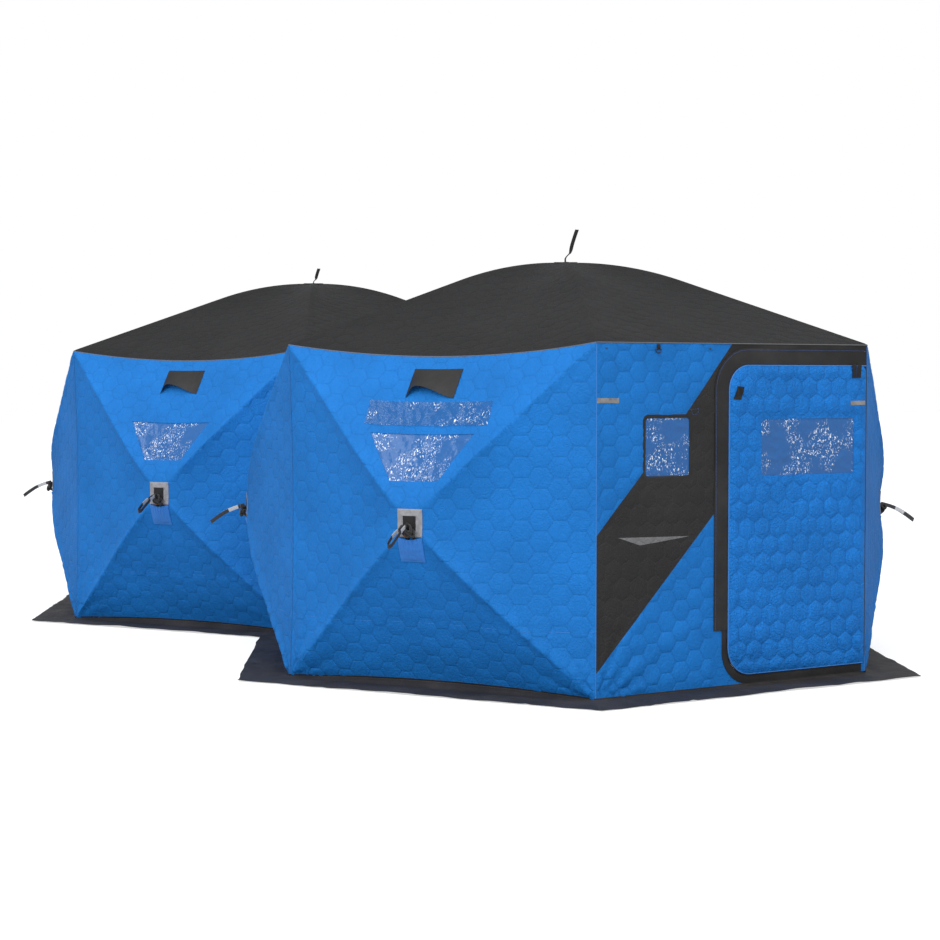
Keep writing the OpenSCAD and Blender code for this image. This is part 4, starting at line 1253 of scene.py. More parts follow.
class Workings:
    """A geometry node tree with named inputs."""

    def __init__(self, name, **inputs):
        self.tree = bpy.data.node_groups.new(name, "GeometryNodeTree")
        ports = self.tree.interface
        ports.new_socket("Path", in_out="INPUT", socket_type="NodeSocketGeometry")
        for key, kind in inputs.items():
            ports.new_socket(key.replace("_", " "), in_out="INPUT", socket_type=f"NodeSocket{kind}")
        ports.new_socket("Geometry", in_out="OUTPUT", socket_type="NodeSocketGeometry")
        self.given = self.tree.nodes.new("NodeGroupInput").outputs

    def node(self, kind, settings=None, values=None):
        return add_node(self.tree, kind, settings, values)

    def spaced(self, mode, **spacing):
        """The path, with its points set out again."""
        curve = self.node("GeometryNodeMeshToCurve", None, {0: self.given["Path"]})
        even = self.node("GeometryNodeResampleCurve", {"mode": mode},
                         {"Curve": curve.outputs[0], **spacing})
        return even.outputs[0]

    def ends(self, geometry, finish):
        whole = self.node("GeometryNodeRealizeInstances", None, {0: geometry})
        smooth_shade = self.node("GeometryNodeSetShadeSmooth", None, {0: whole.outputs[0]})
        coloured = self.node("GeometryNodeSetMaterial", None,
                             {0: smooth_shade.outputs[0], "Material": finish})
        self.node("NodeGroupOutput", None, {0: coloured.outputs[0]})
        return self.tree


def piping_tree():
    w = Workings("piping", Radius="Float", Step="Float", Finish="Material")
    even = w.spaced("LENGTH", Length=w.given["Step"])
    ring = w.node("GeometryNodeCurvePrimitiveCircle", None,
                  {"Resolution": 8, "Radius": w.given["Radius"]})
    cord = w.node("GeometryNodeCurveToMesh", None, {
        "Curve": even, "Profile Curve": ring.outputs[0], "Fill Caps": True})
    return w.ends(cord.outputs[0], w.given["Finish"])


def grown(tree, name, paths, **inputs):
    """A plain mesh that a node tree grows along some paths."""
    points, edges = [], []
    for path in paths:
        edges += [(len(points) + k, len(points) + k + 1) for k in range(len(path) - 1)]
        points += [tuple(map(float, p)) for p in path]
    mesh = bpy.data.meshes.new(name + "_path")
    mesh.from_pydata(points, edges, [])
    seedling = linked(name + "_path", mesh)
    modifier = seedling.modifiers.new("grown", "NODES")
    modifier.node_group = tree
    for item in tree.interface.items_tree:
        key = item.name.replace(" ", "_")
        if item.item_type == "SOCKET" and item.in_out == "INPUT" and key in inputs:
            modifier[item.identifier] = inputs[key]
    done = seedling.evaluated_get(bpy.context.evaluated_depsgraph_get())
    result = bpy.data.meshes.new_from_object(done)
    bpy.data.objects.remove(seedling)
    result.name = name
    return linked(name, result)


def cord_cloth(name, colour):
    f = Finish(name, Specular_IOR_Level=0.35, Sheen_Weight=0.1)
    grain = f.noise(f.place(), 700, 3)
    f.drive(Base_Color=f.tint(grain, shaded(colour, 0.8), shaded(colour, 1.2)),
            Roughness=0.55 + grain * 0.2)
    return f.relief(grain, 0.3, 0.0005).material


def skin(number, rear, u, v, lift, follow=True):
    """Places on a hub wall, lift metres off its cloth."""
    _, turn, bows, _, _ = hub_walls[number]
    u, v = np.asarray(u, float).ravel(), np.asarray(v, float).ravel()
    d = 0.002
    here = wall_shape(u, v, bows)
    n = np.cross(wall_shape(u + d, v, bows) - wall_shape(u - d, v, bows),
                 wall_shape(u, v + d, bows) - wall_shape(u, v - d, bows))
    n /= np.linalg.norm(n, axis=1, keepdims=True)
    height = wall_height(number, rear, u, v) if follow else u * 0
    return placed(here + n * (height + lift)[:, None], turn, rear)


piping = piping_tree()
pale_cord = cord_cloth("piping_grey", (0.12, 0.12, 0.122))
blue_cord = cord_cloth("welt_blue", (0.03, 0.17, 0.5))


def before_door(x, path, reach=0.0):
    """Places x metres in front of the door wall, along a path beside the door."""
    return np.stack([path[:, 0] * 0 + x, path[:, 0] + path[:, 2] * reach,
                     path[:, 1] + path[:, 3] * reach], -1)


along_side = np.linspace(-1, 1, 60) * 0.9995 * side / 2
rising_v = np.linspace(0.012, eave_height - 0.01, 60)
span = np.linspace(-0.905, 0.905, 160)
for rear, room, body in door_bodies:
    eaves, corners, belts = [], [], []
    for k in (4, 5, 0, 1, 2):
        turn = math.radians(60 * k)
        x = flat_depth * math.cos(turn) - along_side * math.sin(turn)
        y = flat_depth * math.sin(turn) + along_side * math.cos(turn)
        edge = roof_shape(x * 0.9999, y * 0.9999) * (1.0012, 1.0012, 1) - (0, 0, 0.0035)
        eaves.append(at_peak(edge, rear))
    for number, (_, turn, bows, _, _) in enumerate(hub_walls):
        for u_edge in (-side / 2, side / 2):
            if (turn in (-120, 60)) == (u_edge > 0):
                line = wall_shape(rising_v * 0 + u_edge, rising_v, bows)
                corners.append(placed(line, turn, rear))
        belts.append(skin(number, rear, span, span * 0 + belt_height + 0.002, 0.0))
    for u_edge in (-side / 2, side / 2):
        corners.append(placed(
            np.stack([rising_v * 0, rising_v * 0 + u_edge, rising_v], -1), 0, rear))
    path, _ = beside_door(0, 9, -0.001, 0.012)
    bead = placed(before_door(0.0095, path), 0, rear)
    for name, lines, radius, step, cord, on, slot in (
            ("eave_piping", eaves, 0.0026, 0.03, pale_cord, "hut", "black_cloth"),
            ("corner_welts", corners, 0.0022, 0.03, blue_cord, "hut", "wall_quilt"),
            ("belt_cord", belts, 0.0013, 0.012, blue_cord, "hut", "wall_quilt"),
            ("door_bead", [bead], 0.0034, 0.012, blue_cord, body, "wall_quilt")):
        finished(grown(piping, f"{room}_{name}", lines, Radius=radius, Step=step, Finish=cord),
                 on, slot)

# ---------------------------------------------------------------------------
# Top-stitching: blue thread along the flap's outer edge and round its hook tab,
# and pale thread round each hub patch, one instance to a stitch.


def row_tree(name, given, size, shape, settings=None, axis="X", single=False):
    """A shape at each step of a path, or only at its start, turned to run along it."""
    w = Workings(name, **dict.fromkeys(given, "Float"), Finish="Material")
    spots = w.spaced("COUNT", Count=1) if single else w.spaced("LENGTH", Length=w.given["Pitch"])
    lump = w.node(shape, None, settings)
    scale = w.node("ShaderNodeCombineXYZ", None, {
        n: w.given[s] if isinstance(s, str) else s for n, s in enumerate(size)})
    tangent = w.node("GeometryNodeInputTangent")
    facing = w.node("FunctionNodeAlignRotationToVector", {"axis": axis},
                    {"Vector": tangent.outputs[0]})
    row = w.node("GeometryNodeInstanceOnPoints", None, {
        "Points": spots, "Instance": lump.outputs[0],
        "Rotation": facing.outputs[0], "Scale": scale.outputs[0]})
    return w.ends(row.outputs[0], w.given["Finish"])


stitching = row_tree("stitching", ("Pitch", "Length", "Thick"), ("Length", "Thick", "Thick"),
                     "GeometryNodeMeshUVSphere", {"Segments": 6, "Rings": 4, "Radius": 0.5})
blue_thread = cord_cloth("thread_blue", (0.05, 0.16, 0.55))
for rear, room in rooms:
    path, _ = beside_door(flap_start, 9, flap_path["gap"], 0.02)
    tab = np.array([(0.0065, u0, v0) for u0, v0 in (
        (-0.318, 1.470), (-0.268, 1.474), (-0.272, 1.446), (-0.304, 1.444), (-0.318, 1.470))])
    lines = [placed(line, 0, rear)
             for line in (before_door(0.0046, path, flap_path["wide"] - 0.010), tab)]
    finished(grown(stitching, f"{room}_blue_top_stitching", lines, Pitch=0.0068, Length=0.0052,
                   Thick=0.0013, Finish=blue_thread), "hut", "wall_quilt")

# ---------------------------------------------------------------------------
# Zips: a moulded-tooth zip up the free edge and over the top of each door, with
# two sliders. Their black cord pulls hang at the top corner by the hinge.

teeth = row_tree("zip_teeth", ("Pitch",), (0.0017, 0.0046, 0.0024), "GeometryNodeMeshCube")
zip_finish = moulded_plastic("zip_plastic_black", (0.016, 0.016, 0.017), 0.3)
for rear, room in rooms:
    rows = [placed(before_door(0.0052, beside_door(0, 9, reach, 0.015)[0]), 0, rear)
            for reach in (0.0006, 0.0038)]
    finished(grown(teeth, f"{room}_zip_teeth", rows, Pitch=0.0036, Finish=zip_finish),
             "hut", "tip_plastic")


def webbing(name, colour, fleck=None):
    """Woven nylon tape: ribs across, twill along, and a paler tracer if it has one."""
    f = Finish(name, Specular_IOR_Level=0.25, Sheen_Weight=0.04)
    place = f.place("cloth")
    run, across, _ = f.axes(place)
    ribs = (run * 2600).math("SINE")
    twill = (run * 1500 + across * 2600).math("SINE")
    wear = f.noise(place, 60, 4)
    tone = f.tint(wear, colour, shaded(colour, 1.8, 0.004))
    if fleck:
        band = 1 - ((run * 23).math("SINE") - 0.75).ramp(0.0, 0.05)
        tone = f.tint(1 - band, tone, fleck)
    f.drive(Base_Color=tone, Roughness=0.5 + wear * 0.25)
    return f.relief(ribs * 0.5 + twill * 0.3 + wear * 0.5, 0.6, 0.0009).material


def unit(vectors):
    return vectors / np.linalg.norm(vectors, axis=-1, keepdims=True)


def ribbon(path, across, wide, thick, rows=5):
    """A tape along a path, as a closed sheet's parts."""
    path = np.asarray(path, float)
    tangent = unit(np.gradient(path, axis=0))
    across = np.broadcast_to(np.asarray(across, float), path.shape)
    across = unit(across - tangent * (across * tangent).sum(1, keepdims=True))
    s = np.tile(np.linspace(-0.5, 0.5, rows), len(path))[:, None]
    edge = thick / 2 * (1 - 2.4 * np.abs(s) ** 3) * np.repeat(np.cross(tangent, across), rows, 0)
    middle = np.repeat(path, rows, 0) + np.repeat(across, rows, 0) * s * wide
    flat = np.c_[np.repeat(run_along(path), rows), s * wide]
    return grid(len(path), rows), middle + edge, middle - edge, flat


def eased(points, count):
    """A smooth curve through a few points."""
    points = np.asarray(points, float)
    padded = np.concatenate([[2 * points[0] - points[1]], points, [2 * points[-1] - points[-2]]])
    result = []
    for t in np.linspace(0, len(points) - 1 - 1e-9, count):
        k, s = int(t), t - int(t)
        p0, p1, p2, p3 = padded[k:k + 4]
        result.append(0.5 * (2 * p1 + (p2 - p0) * s + (2 * p0 - 5 * p1 + 4 * p2 - p3) * s * s
                             + (3 * p1 - p0 - 3 * p2 + p3) * s ** 3))
    return np.array(result)


def local(parts, rear, turn=0):
    faces, outside, inside, flat = parts
    return faces, placed(outside, turn, rear), placed(inside, turn, rear), flat


black_webbing = webbing("webbing_black", (0.007, 0.007, 0.008))
for rear, room, body in door_bodies:
    pulls = []
    for y, swing, wide in ((0.800, 0.002, 0.030), (0.842, -0.003, 0.026)):
        down = eased([(0.0215, y, 1.708), (0.0245, y + swing, 1.69),
                      (0.0235, y + swing * 1.5, 1.66), (0.0225, y + swing * 2, 1.634)], 20)
        pulls.append(local(ribbon(down, (0, 1, 0), wide, 0.0035), rear))
    sewn(f"{room}_zip_pulls", pulls, black_webbing, body, "webbing")

# ---------------------------------------------------------------------------
# Door furniture: press studs and a webbing loop with a D-ring under the eave, a
# reflective tape on each side, and a hook-and-loop tab that holds the rolled door.


def reflective_tape():
    f = Finish("reflective_tape_grey", Metallic=0.25, Specular_IOR_Level=0.5)
    place = f.place("cloth")
    cells = f.node("ShaderNodeTexVoronoi", {"feature": "DISTANCE_TO_EDGE"},
                   {"Vector": place, "Scale": 420.0})
    rim = Field(f.tree, cells.outputs["Distance"]).ramp(0.0, 0.12)
    dirt = f.noise(place, 35, 4)
    f.drive(Base_Color=f.tint(rim * dirt.ramp(0.2, 0.6), (0.16, 0.155, 0.15), (0.31, 0.30, 0.29)),
            Roughness=0.35 + dirt * 0.2)
    return f.relief(rim, 0.3, 0.0004).material


def laid(corners, height, thick, rows=10, columns=24):
    """A four-cornered patch laid on a flat wall. Corners run low left, low right, up."""
    a, b, c, d = (np.array(p, float) for p in corners)
    r, s = (g[:, None] for g in lattice((0, 1, rows), (0, 1, columns)))
    flat = a * (1 - s) * (1 - r) + b * s * (1 - r) + c * s * r + d * (1 - s) * r
    x = height(flat[:, 0], flat[:, 1])
    shape = np.stack([x + thick, flat[:, 0], flat[:, 1]], -1)
    return grid(rows, columns), shape, shape - (thick * 0.9, 0, 0), flat


reflector = reflective_tape()
hook_tape = cord_cloth("hook_tape_black", (0.003, 0.003, 0.0035))
stud_metal = Finish("stud_metal_dark", Metallic=0.9, Base_Color=(0.09, 0.085, 0.08, 1),
                    Roughness=0.35)
stud_metal.relief(stud_metal.noise(stud_metal.place(), 1500, 2), 0.2, 0.0002)
studs = row_tree("studs", ("Radius", "Height"), ("Radius", "Radius", "Height"),
                 "GeometryNodeMeshUVSphere", {"Segments": 20, "Rings": 10, "Radius": 1.0},
                 "Z", True)
ring_y = -0.529               # the loop and its ring, under the eave
for rear, room, body in door_bodies:

    def on_wall(u, v):
        return door_wall_height(rear, u, v) + 0.0006

    def on_door(u, v):
        return door_face + door_height(rear, u, v) + 0.0006

    for name, corners, height, thick, finish, on, slot in (
            ("reflector_wall", [(-0.912, 1.507), (-0.778, 1.505), (-0.778, 1.531), (-0.912, 1.533)],
             on_wall, 0.0008, reflector, "hut", "patch_cloth"),
            ("reflector_door", [(0.772, 1.484), (0.890, 1.486), (0.890, 1.509), (0.774, 1.508)],
             on_door, 0.0008, reflector, body, "patch_cloth"),
            ("door_tab", [(-0.043, 1.521), (0.004, 1.520), (0.022, 1.586), (-0.025, 1.590)],
             lambda u, v: on_door(u, v) + 0.0006, 0.0024, hook_tape, body, "black_cloth")):
        sewn(f"{room}_{name}", [local(laid(corners, height, thick), rear)], finish, on, slot)
    spots = [placed([(0.0015, y, z), (0.0065, y, z)], 0, rear)
             for y, z in ((-0.857, 1.784), (-0.189, 1.786), (0.894, 1.778))]
    finished(grown(studs, f"{room}_press_studs", spots, Radius=0.0075, Height=0.0032,
                   Finish=stud_metal.material), "hut", "tip_plastic")
    loop = eased([(x, ring_y, z) for x, z in (
        (0.001, 1.806), (0.007, 1.799), (0.0085, 1.788), (0.004, 1.779), (0.001, 1.786),
        (0.0006, 1.80))], 26)
    sewn(f"{room}_ring_loop", [local(ribbon(loop, (0, 1, 0), 0.02, 0.0018), rear)],
         black_webbing, "hut", "webbing")
    a = np.radians(np.arange(0, 361, 12))
    ring = np.stack([0.0062 + 0 * a, ring_y + 0.017 * np.cos(a),
                     1.776 + 0.014 * np.sin(a) - 0.004 * (np.sin(a) > 0.5)], -1)
    finished(grown(piping, f"{room}_eave_ring", [placed(ring, 0, rear)], Radius=0.0022, Step=0.004,
                   Finish=zip_finish), "hut", "tip_plastic")

# ---------------------------------------------------------------------------
# Hub patches: a square of silver cloth over each wall hub where the pull strap
# goes through, box-stitched, with a square of black webbing sewn to its middle.


def patch_cloth():
    f = Finish("patch_silver", Specular_IOR_Level=0.5, Metallic=0.15)
    place = f.place("cloth")
    u, v, _ = f.axes(place)
    weave = woven(u, v, 3300)
    dirt = f.noise(place, 26, 5, 0.6)
    f.drive(Base_Color=f.tint(dirt.ramp(0.3, 0.75), (0.29, 0.295, 0.32), (0.21, 0.21, 0.225)),
            Roughness=0.42 + dirt * 0.25)
    return f.relief(weave * 0.3 + dirt, 0.5, 0.0012).material


def way_out(number, rear):
    """The direction straight out of a hub wall."""
    ends = placed([(0, 0, 0), (1, 0, 0)], hub_walls[number][1], rear)
    return ends[1] - ends[0]


def hub_square(number, rear, half, lift, thick, count=26, pucker=0.0):
    """A square sewn flat over the point of a hub wall."""
    v, u = lattice((-half, half, count), (-half, half, count))
    top = skin(number, rear, u, v + hub_height, 0, False)
    far = np.maximum(np.abs(u), np.abs(v)) / half
    swell = pucker * waves(u * 60, v * 60, 801 + number) \
        * smooth(far, 0, 0.4) * (1 - smooth(far, 0.8, 1))
    off = (lift + swell + 0.0012 * np.exp(-((far - 0.9) / 0.05) ** 2) * (pucker > 0))[:, None]
    out = way_out(number, rear)
    return grid(count, count), top + out * (off + thick), top + out * off, np.stack([u, v], -1)


walls = [(n, rear) for rear in (False, True) for n in range(4)]
sewn("hub_patch_cloth", [hub_square(n, rear, patch_half, 0.0022, 0.0018, pucker=0.0012)
                         for n, rear in walls], patch_cloth(), "hut", "patch_cloth", "hub_patches",
     flat=(8 * 0.15, 0.15), held="stretched", rests_on=["front_wall_hubs", "rear_wall_hubs"])
sewn("hub_webbing_squares", [hub_square(n, rear, 0.037, 0.0048, 0.0022, 14) for n, rear in walls],
     black_webbing, "hut", "hub_plastic", "hub_plates")
lines = []
for n, rear in walls:
    for half in (0.066, 0.060):
        t = np.linspace(-half, half, 30)
        u = np.concatenate([t, t * 0 + half, -t, t * 0 - half])
        v = np.concatenate([t * 0 - half, t, t * 0 + half, -t]) + hub_height
        lines.append(skin(n, rear, u, v, 0, False) + way_out(n, rear) * 0.0048)
finished(grown(stitching, "hub_patch_stitching", lines, Pitch=0.0055, Length=0.0042, Thick=0.001,
               Finish=cord_cloth("thread_grey", (0.45, 0.46, 0.48))), "hut", "patch_cloth")

# ---------------------------------------------------------------------------
# Pull straps: a loop of grey-flecked webbing at each wall hub, to pull the wall out
# by. The stowed guy rope is hitched over it and tucked into the pocket below.

fleck_webbing = webbing("webbing_fleck", (0.03, 0.03, 0.032), (0.55, 0.55, 0.56))


def tube(path, radius, sides=10):
    """A round rope along a path, as one closed skin: faces, points and flat layout."""
    path = np.asarray(path, float)
    tangent = unit(np.gradient(path, axis=0))
    n = np.cross(tangent[0], (0.3, 0.5, 0.81))
    around = 2 * np.pi * np.arange(sides) / sides
    points, last = [], len(path) - 1
    for k, (p, t) in enumerate(zip(path, tangent)):
        n = unit(n - t * np.dot(n, t))
        spokes = np.outer(np.cos(around), n) + np.outer(np.sin(around), np.cross(t, n))
        points.append(p + spokes * radius * (0.25 if k in (0, last) else 1))
    flat = np.c_[np.repeat(run_along(path), sides), np.tile(radius * around, len(path))]
    faces = [[k * sides + s, k * sides + (s + 1) % sides,
              (k + 1) * sides + (s + 1) % sides, (k + 1) * sides + s]
             for k in range(last) for s in range(sides)]
    faces += [list(range(sides))[::-1], [last * sides + s for s in range(sides)]]
    return faces, np.concatenate(points), flat


def roped(name, parts, finish, slot):
    """One piece of the hut from several closed skins."""
    faces, points, _, flat = gathered([(f, p, p, flat) for f, p, flat in parts])
    mesh = bpy.data.meshes.new(name)
    mesh.from_pydata(points, [], faces)
    mesh.polygons.foreach_set("use_smooth", [True] * len(faces))
    lay_out(mesh, flat)
    mesh.materials.append(finish)
    mesh.validate()
    return finished(linked(name, mesh), "hut", slot)


def braided(name, colour, other):
    """Braided polyester rope."""
    f = Finish(name, Specular_IOR_Level=0.4, Sheen_Weight=0.1)
    run, around, _ = f.axes(f.place("cloth"))
    strands = (run * 1100 + around * 1100).math("SINE") * (run * 1100 - around * 1100).math("SINE")
    f.drive(Base_Color=f.tint(strands.ramp(-0.4, 0.9), colour, other),
            Roughness=0.45 + strands * 0.1)
    return f.relief(strands, 0.8, 0.0012).material


def pull_strap(number, rear):
    """One length of webbing out from the hub, round and back, drooping off level."""
    droop = math.radians(24)
    out = np.array((math.cos(droop), 0, -math.sin(droop)))
    across = (math.sin(droop), 0.12, math.cos(droop))
    start = np.array((hub_reach + 0.0175, 0, hub_height - 0.006))
    track = [(0.002, 0.0035), (0.03, 0.004), (0.07, 0.009), (0.12, 0.0145), (0.17, 0.0155),
             (0.204, 0.013), (0.2175, 0.002), (0.207, -0.011), (0.17, -0.0145),
             (0.12, -0.0125), (0.07, -0.006), (0.03, -0.0035), (0.002, -0.0035)]
    points = [start + out * r + (0, s, 0.012 * math.sin(math.pi * r / 0.22)
                                 - 0.22 * max(r - 0.09, 0) ** 1.4) for r, s in track]
    return local(ribbon(eased(points, 76), across, 0.0215, 0.0024), rear, hub_walls[number][1])


sewn("hub_pull_straps", [pull_strap(n, rear) for n, rear in walls], fleck_webbing,
     "hut", "webbing", "pull_straps")


def hitch_and_bights(number, rear):
    """The hitch on the hub and the bights that run down into the pocket."""
    turn, shift = hub_walls[number][1], 1.7 * number + 3 * rear
    x0, z0 = hub_reach + 0.008, hub_height
    made = []
    for turns, phase in ((3, 0.0), (2, 1.9)):
        t = np.linspace(0, 2 * math.pi, 110) + phase
        hitch = np.stack([x0 + 0.021 + 0.012 * np.sin(turns * t + shift),
                          0.003 + 0.030 * np.sin(t) + 0.015 * np.sin(turns * t + 1),
                          z0 - 0.036 + 0.017 * np.cos(t + 0.6)
                          + 0.014 * np.cos((turns + 1) * t)], -1)
        made.append(tube(placed(hitch[:-4], turn, rear), 0.0058))
    for y0, y1, bow in ((-0.022, -0.024, 0.022), (-0.008, -0.012, 0.026),
                        (0.016, 0.016, 0.026), (0.032, 0.025, 0.018)):
        bight = eased([(x0 + x, y, z0 - z) for x, y, z in (
            (0.012, y0, 0.030), (bow, y0 * 1.15, 0.046), (bow * 0.5, (y0 + y1) / 2, 0.060),
            (-0.012, y1, 0.075), (-0.023, y1, 0.090), (-0.030, y1, 0.112))], 40)
        made.append(tube(placed(bight, turn, rear), 0.0052))
    return made


def rope_bands(number, rear):
    """Three turns of elastic round the bights."""
    a = np.linspace(0, 2 * math.pi, 26)
    rings = [np.stack([hub_reach + 0.012 + (0.063 - drop) * 1.4 + 0.010 * np.cos(a),
                       -0.018 + 0.0145 * np.sin(a), hub_height - drop + 0 * a], -1)
             for drop in (0.063, 0.068, 0.073)]
    return [tube(placed(ring, hub_walls[number][1], rear), 0.0021, 8) for ring in rings]


rope = braided("rope_black", (0.010, 0.010, 0.011), (0.035, 0.035, 0.037))
band = cord_cloth("band_orange_brown", (0.26, 0.12, 0.035))
roped("stowed_guy_ropes", [t for n, rear in walls for t in hitch_and_bights(n, rear)],
      rope, "webbing")
roped("rope_bands", [t for n, rear in walls for t in rope_bands(n, rear)], band, "pocket_cloth")

# ---------------------------------------------------------------------------
# Rope pockets: a pouch of the blue cloth below each patch, gathered on elastic at
# its mouth and sewn down on its other three sides.

pocket_wide, pocket_high = 0.143, 0.130


def rope_pocket(number, rear, rows=34, columns=46):
    _, turn, bows, _, _ = hub_walls[number]
    y, x = lattice((1, 0, rows), (0, 1, columns))
    mouth = hub_height * (1 - 0.145 / side) - 0.004
    sag = 0.012 * np.sin(math.pi * x) ** 1.5 * (1 - y) ** 2
    u, v = pocket_wide * (x - 0.5), mouth - y * pocket_high - sag
    shape = wall_shape(u, v, bows)
    swell = np.sin(math.pi * x) ** 0.6 * (1 - 0.8 * y ** 2) * smooth(1 - y, 0, 0.12)
    pleats = np.sin(x * 46 + 2.4 * waves(x * 5, y * 3, 821 + number)) \
        * (1 - y) ** 1.3 * np.sin(math.pi * x) ** 0.5
    slack = waves(x * 4, y * 4, 831 + number + rear, 2) \
        * smooth(np.minimum(np.minimum(x, 1 - x), 1 - y), 0, 0.12)
    shape[:, 0] += 0.0042 + 0.017 * swell + 0.0032 * pleats + 0.002 * slack
    return (grid(rows, columns), placed(shape, turn, rear),
            placed(shape - (0.0018, 0, 0), turn, rear), np.stack([u * 3 + 0.3, v * 3], -1))


def plain_blue():
    """The same face cloth, without its quilting."""
    f = Finish("cloth_blue", Sheen_Weight=0.1, Specular_IOR_Level=0.35)
    place = f.place("cloth")
    u, v, _ = f.axes(place)
    fine = f.noise(place, 30, 4, 0.6)
    f.drive(Base_Color=f.tint(fine, (0.018, 0.15, 0.50), (0.026, 0.19, 0.6)),
            Roughness=0.5 + fine * 0.15)
    return f.relief(woven(u, v, 1700) * 0.15 + fine, 0.4, 0.001).material


sewn("rope_pocket_cloth", [rope_pocket(n, rear) for n, rear in walls], plain_blue(),
     "hut", "pocket_cloth", "rope_pockets",
     flat=(8 * 0.17, 0.15), held="gathered", rests_on=["front_wall_hubs"])

# ---------------------------------------------------------------------------
# Roof straps: a loop of black webbing sewn through each peak, to lift the roof
# hub by, over a small round patch. A strap lies under the valley between the roofs.


def roof_strap(rear):
    """Webbing doubled into a flat loop that has been folded over near its foot."""
    size = 0.56 if rear else 1.0
    aside, to_front = np.array((0.534, 0.845, 0)), np.array((0.845, -0.534, 0))
    rising = [(0, 0), (0.028, 0.001), (0.050, 0.018), (0.064, 0.029),
              (0.11, 0.040), (0.16, 0.055), (0.196, 0.067)]
    track = [(r, a, 0.0025 + 0.0025 * (r > 0.08)) for r, a in rising] + [(0.2, 0.069, 0)] \
        + [(r, a, -0.0025 - 0.0025 * (r > 0.08)) for r, a in rising[::-1]]
    path = eased([aside * a * size + to_front * g
                  + (0, 0, peak_height + 0.0015 + r * size * 0.97) for r, a, g in track], 90)
    turned = np.radians(90 * smooth(path[:, 2] - peak_height, 0.045 * size, 0.10 * size))[:, None]
    across = (to_front + aside * 0.35) * np.cos(turned) + aside * np.sin(turned)
    faces, outside, inside, flat = ribbon(path, across, 0.021, 0.0022)
    shift = np.array((-flat_depth if rear else flat_depth, 0, 0))
    return faces, outside + shift, inside + shift, flat


sewn("roof_peak_straps", [roof_strap(rear) for rear in (False, True)], black_webbing,
     "hut", "webbing", "roof_straps")


def peak_patch(rear, rings=7, spokes=36):
    a = 2 * np.pi * np.arange(spokes) / spokes
    round_peak = np.stack([np.cos(a), np.sin(a)], -1)
    flat = np.concatenate([[(0.0, 0.0)]] + [0.075 * r / rings * round_peak
                                            for r in range(1, rings + 1)])
    faces = []
    for s in range(spokes):
        faces.append([0, 1 + s, 1 + (s + 1) % spokes])
        for r in range(rings - 1):
            a, b = 1 + r * spokes + s, 1 + r * spokes + (s + 1) % spokes
            faces.append([a, a + spokes, b + spokes, b])
    shape = roof_shape(flat[:, 0], flat[:, 1])
    return (faces, at_peak(shape + (0, 0, 0.0052), rear),
            at_peak(shape + (0, 0, 0.002), rear), flat)


sewn("roof_peak_patches", [peak_patch(rear) for rear in (False, True)], black_cloth,
     "hut", "black_cloth")
finish_node("valley_strap", coated_cloth("valley_strap_black", (0.02, 0.02, 0.02), uv=None))

# ---------------------------------------------------------------------------
# Map sleeve: a shallow pocket of clear vinyl welded along three edges over the
# window of the wall beside the front door.

sleeve_vinyl = vinyl("sleeve_vinyl", (0.03, 0.15, 0.42), 0.34, 0.5)
r, s = lattice((0, 1, 22), (0, 1, 90))
u, v = 0.728 * s - 0.352, 1.404 + 0.135 * r
push = np.maximum(crinkles(u, v, 861), -0.001) \
    * smooth(np.minimum(np.minimum(s, 1 - s) * 8, r * 2), 0, 0.3)
outer, inner = (skin(0, False, u, v, lift + push) for lift in (0.0025, 0.0018))
sewn("map_sleeve_vinyl", [(grid(22, 90), outer, inner, np.stack([u, v], -1))], sleeve_vinyl,
     "hut", "clear_sheet",
     flat=(0.73, 0.136), held="stretched", rests_on=["front_wall_window_side"])

# ---------------------------------------------------------------------------
# Studio: a pale floor and soft light from above and in front. The camera stands
# a few paces off the front door's left, a little below head height.

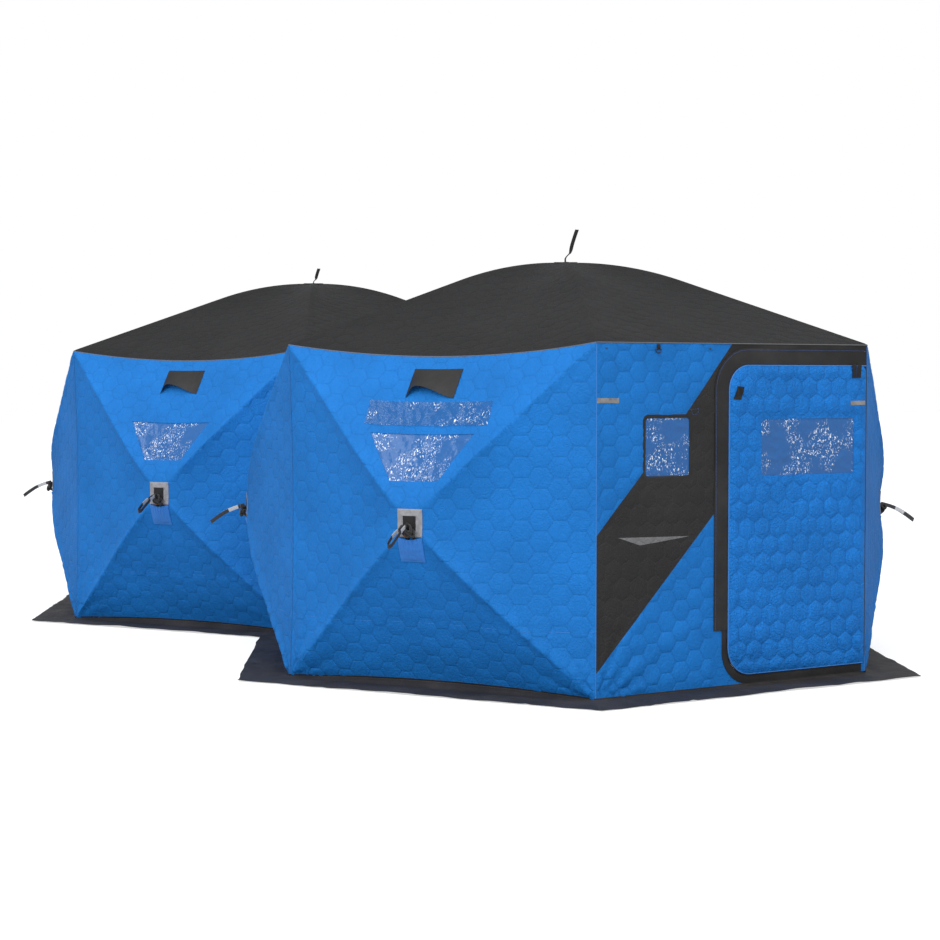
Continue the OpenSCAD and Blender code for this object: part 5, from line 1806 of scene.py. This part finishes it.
floor_finish = Finish("studio_floor", Base_Color=(0.45, 0.45, 0.45, 1), Roughness=0.9,
                      Specular_IOR_Level=0.1, Emission_Strength=1.0)
seen = Field(floor_finish.tree, floor_finish.node("ShaderNodeLightPath").outputs["Is Camera Ray"])
floor_finish.drive(Emission_Color=floor_finish.tint(seen, (0, 0, 0), (0.62, 0.62, 0.62)))
floor_mesh = bpy.data.meshes.new("studio_floor")
floor_mesh.from_pydata([(-60, -60, -0.001), (60, -60, -0.001), (60, 60, -0.001), (-60, 60, -0.001)],
                       [], [(0, 1, 2, 3)])
floor_mesh.materials.append(floor_finish.material)
linked("studio_floor", floor_mesh)

world = bpy.data.worlds.new("studio")
bpy.context.scene.world = world
world.use_nodes = True
seen = add_node(world.node_tree, "ShaderNodeLightPath").outputs["Is Camera Ray"]
sky = add_node(world.node_tree, "ShaderNodeMix", {"data_type": "RGBA"},
               {0: seen, 6: (0.55, 0.56, 0.57, 1), 7: (1, 1, 1, 1)})
world.node_tree.links.new(sky.outputs[2], world.node_tree.nodes["Background"].inputs[0])


def aimed(piece, way):
    """Turns a light or the camera to look along a direction."""
    piece.rotation_mode = "QUATERNION"
    piece.rotation_quaternion = Vector(way).to_track_quat("-Z", "Y")
    return piece


def soft_light(name, spot, aim, power, size):
    data = bpy.data.lights.new(name, "AREA")
    data.shape, data.size, data.size_y, data.energy = "RECTANGLE", size, size, power
    aimed(linked(name, data), Vector(aim) - Vector(spot)).location = spot


sun = bpy.data.lights.new("sky_light", "SUN")
sun.energy, sun.angle = 2.9, 1.3
aimed(linked("sky_light", sun), (-0.42, 0.45, -0.85))
soft_light("front_left", (3.0, -11.0, 4.5), (0, 0, 1.0), 160, 3)
soft_light("front_right", (12.0, -1.0, 4.0), (1, 0, 1.0), 120, 2.5)

lens = bpy.data.cameras.new("camera")
lens.sensor_width, lens.lens, lens.clip_end = 36, 77.65, 200
camera = aimed(linked("camera", lens), (-0.84457, 0.53351, -0.04548))
camera.location = (11.4428, -6.8928, 1.6346)
bpy.context.scene.camera = camera
bpy.context.scene.view_settings.view_transform = "Standard"
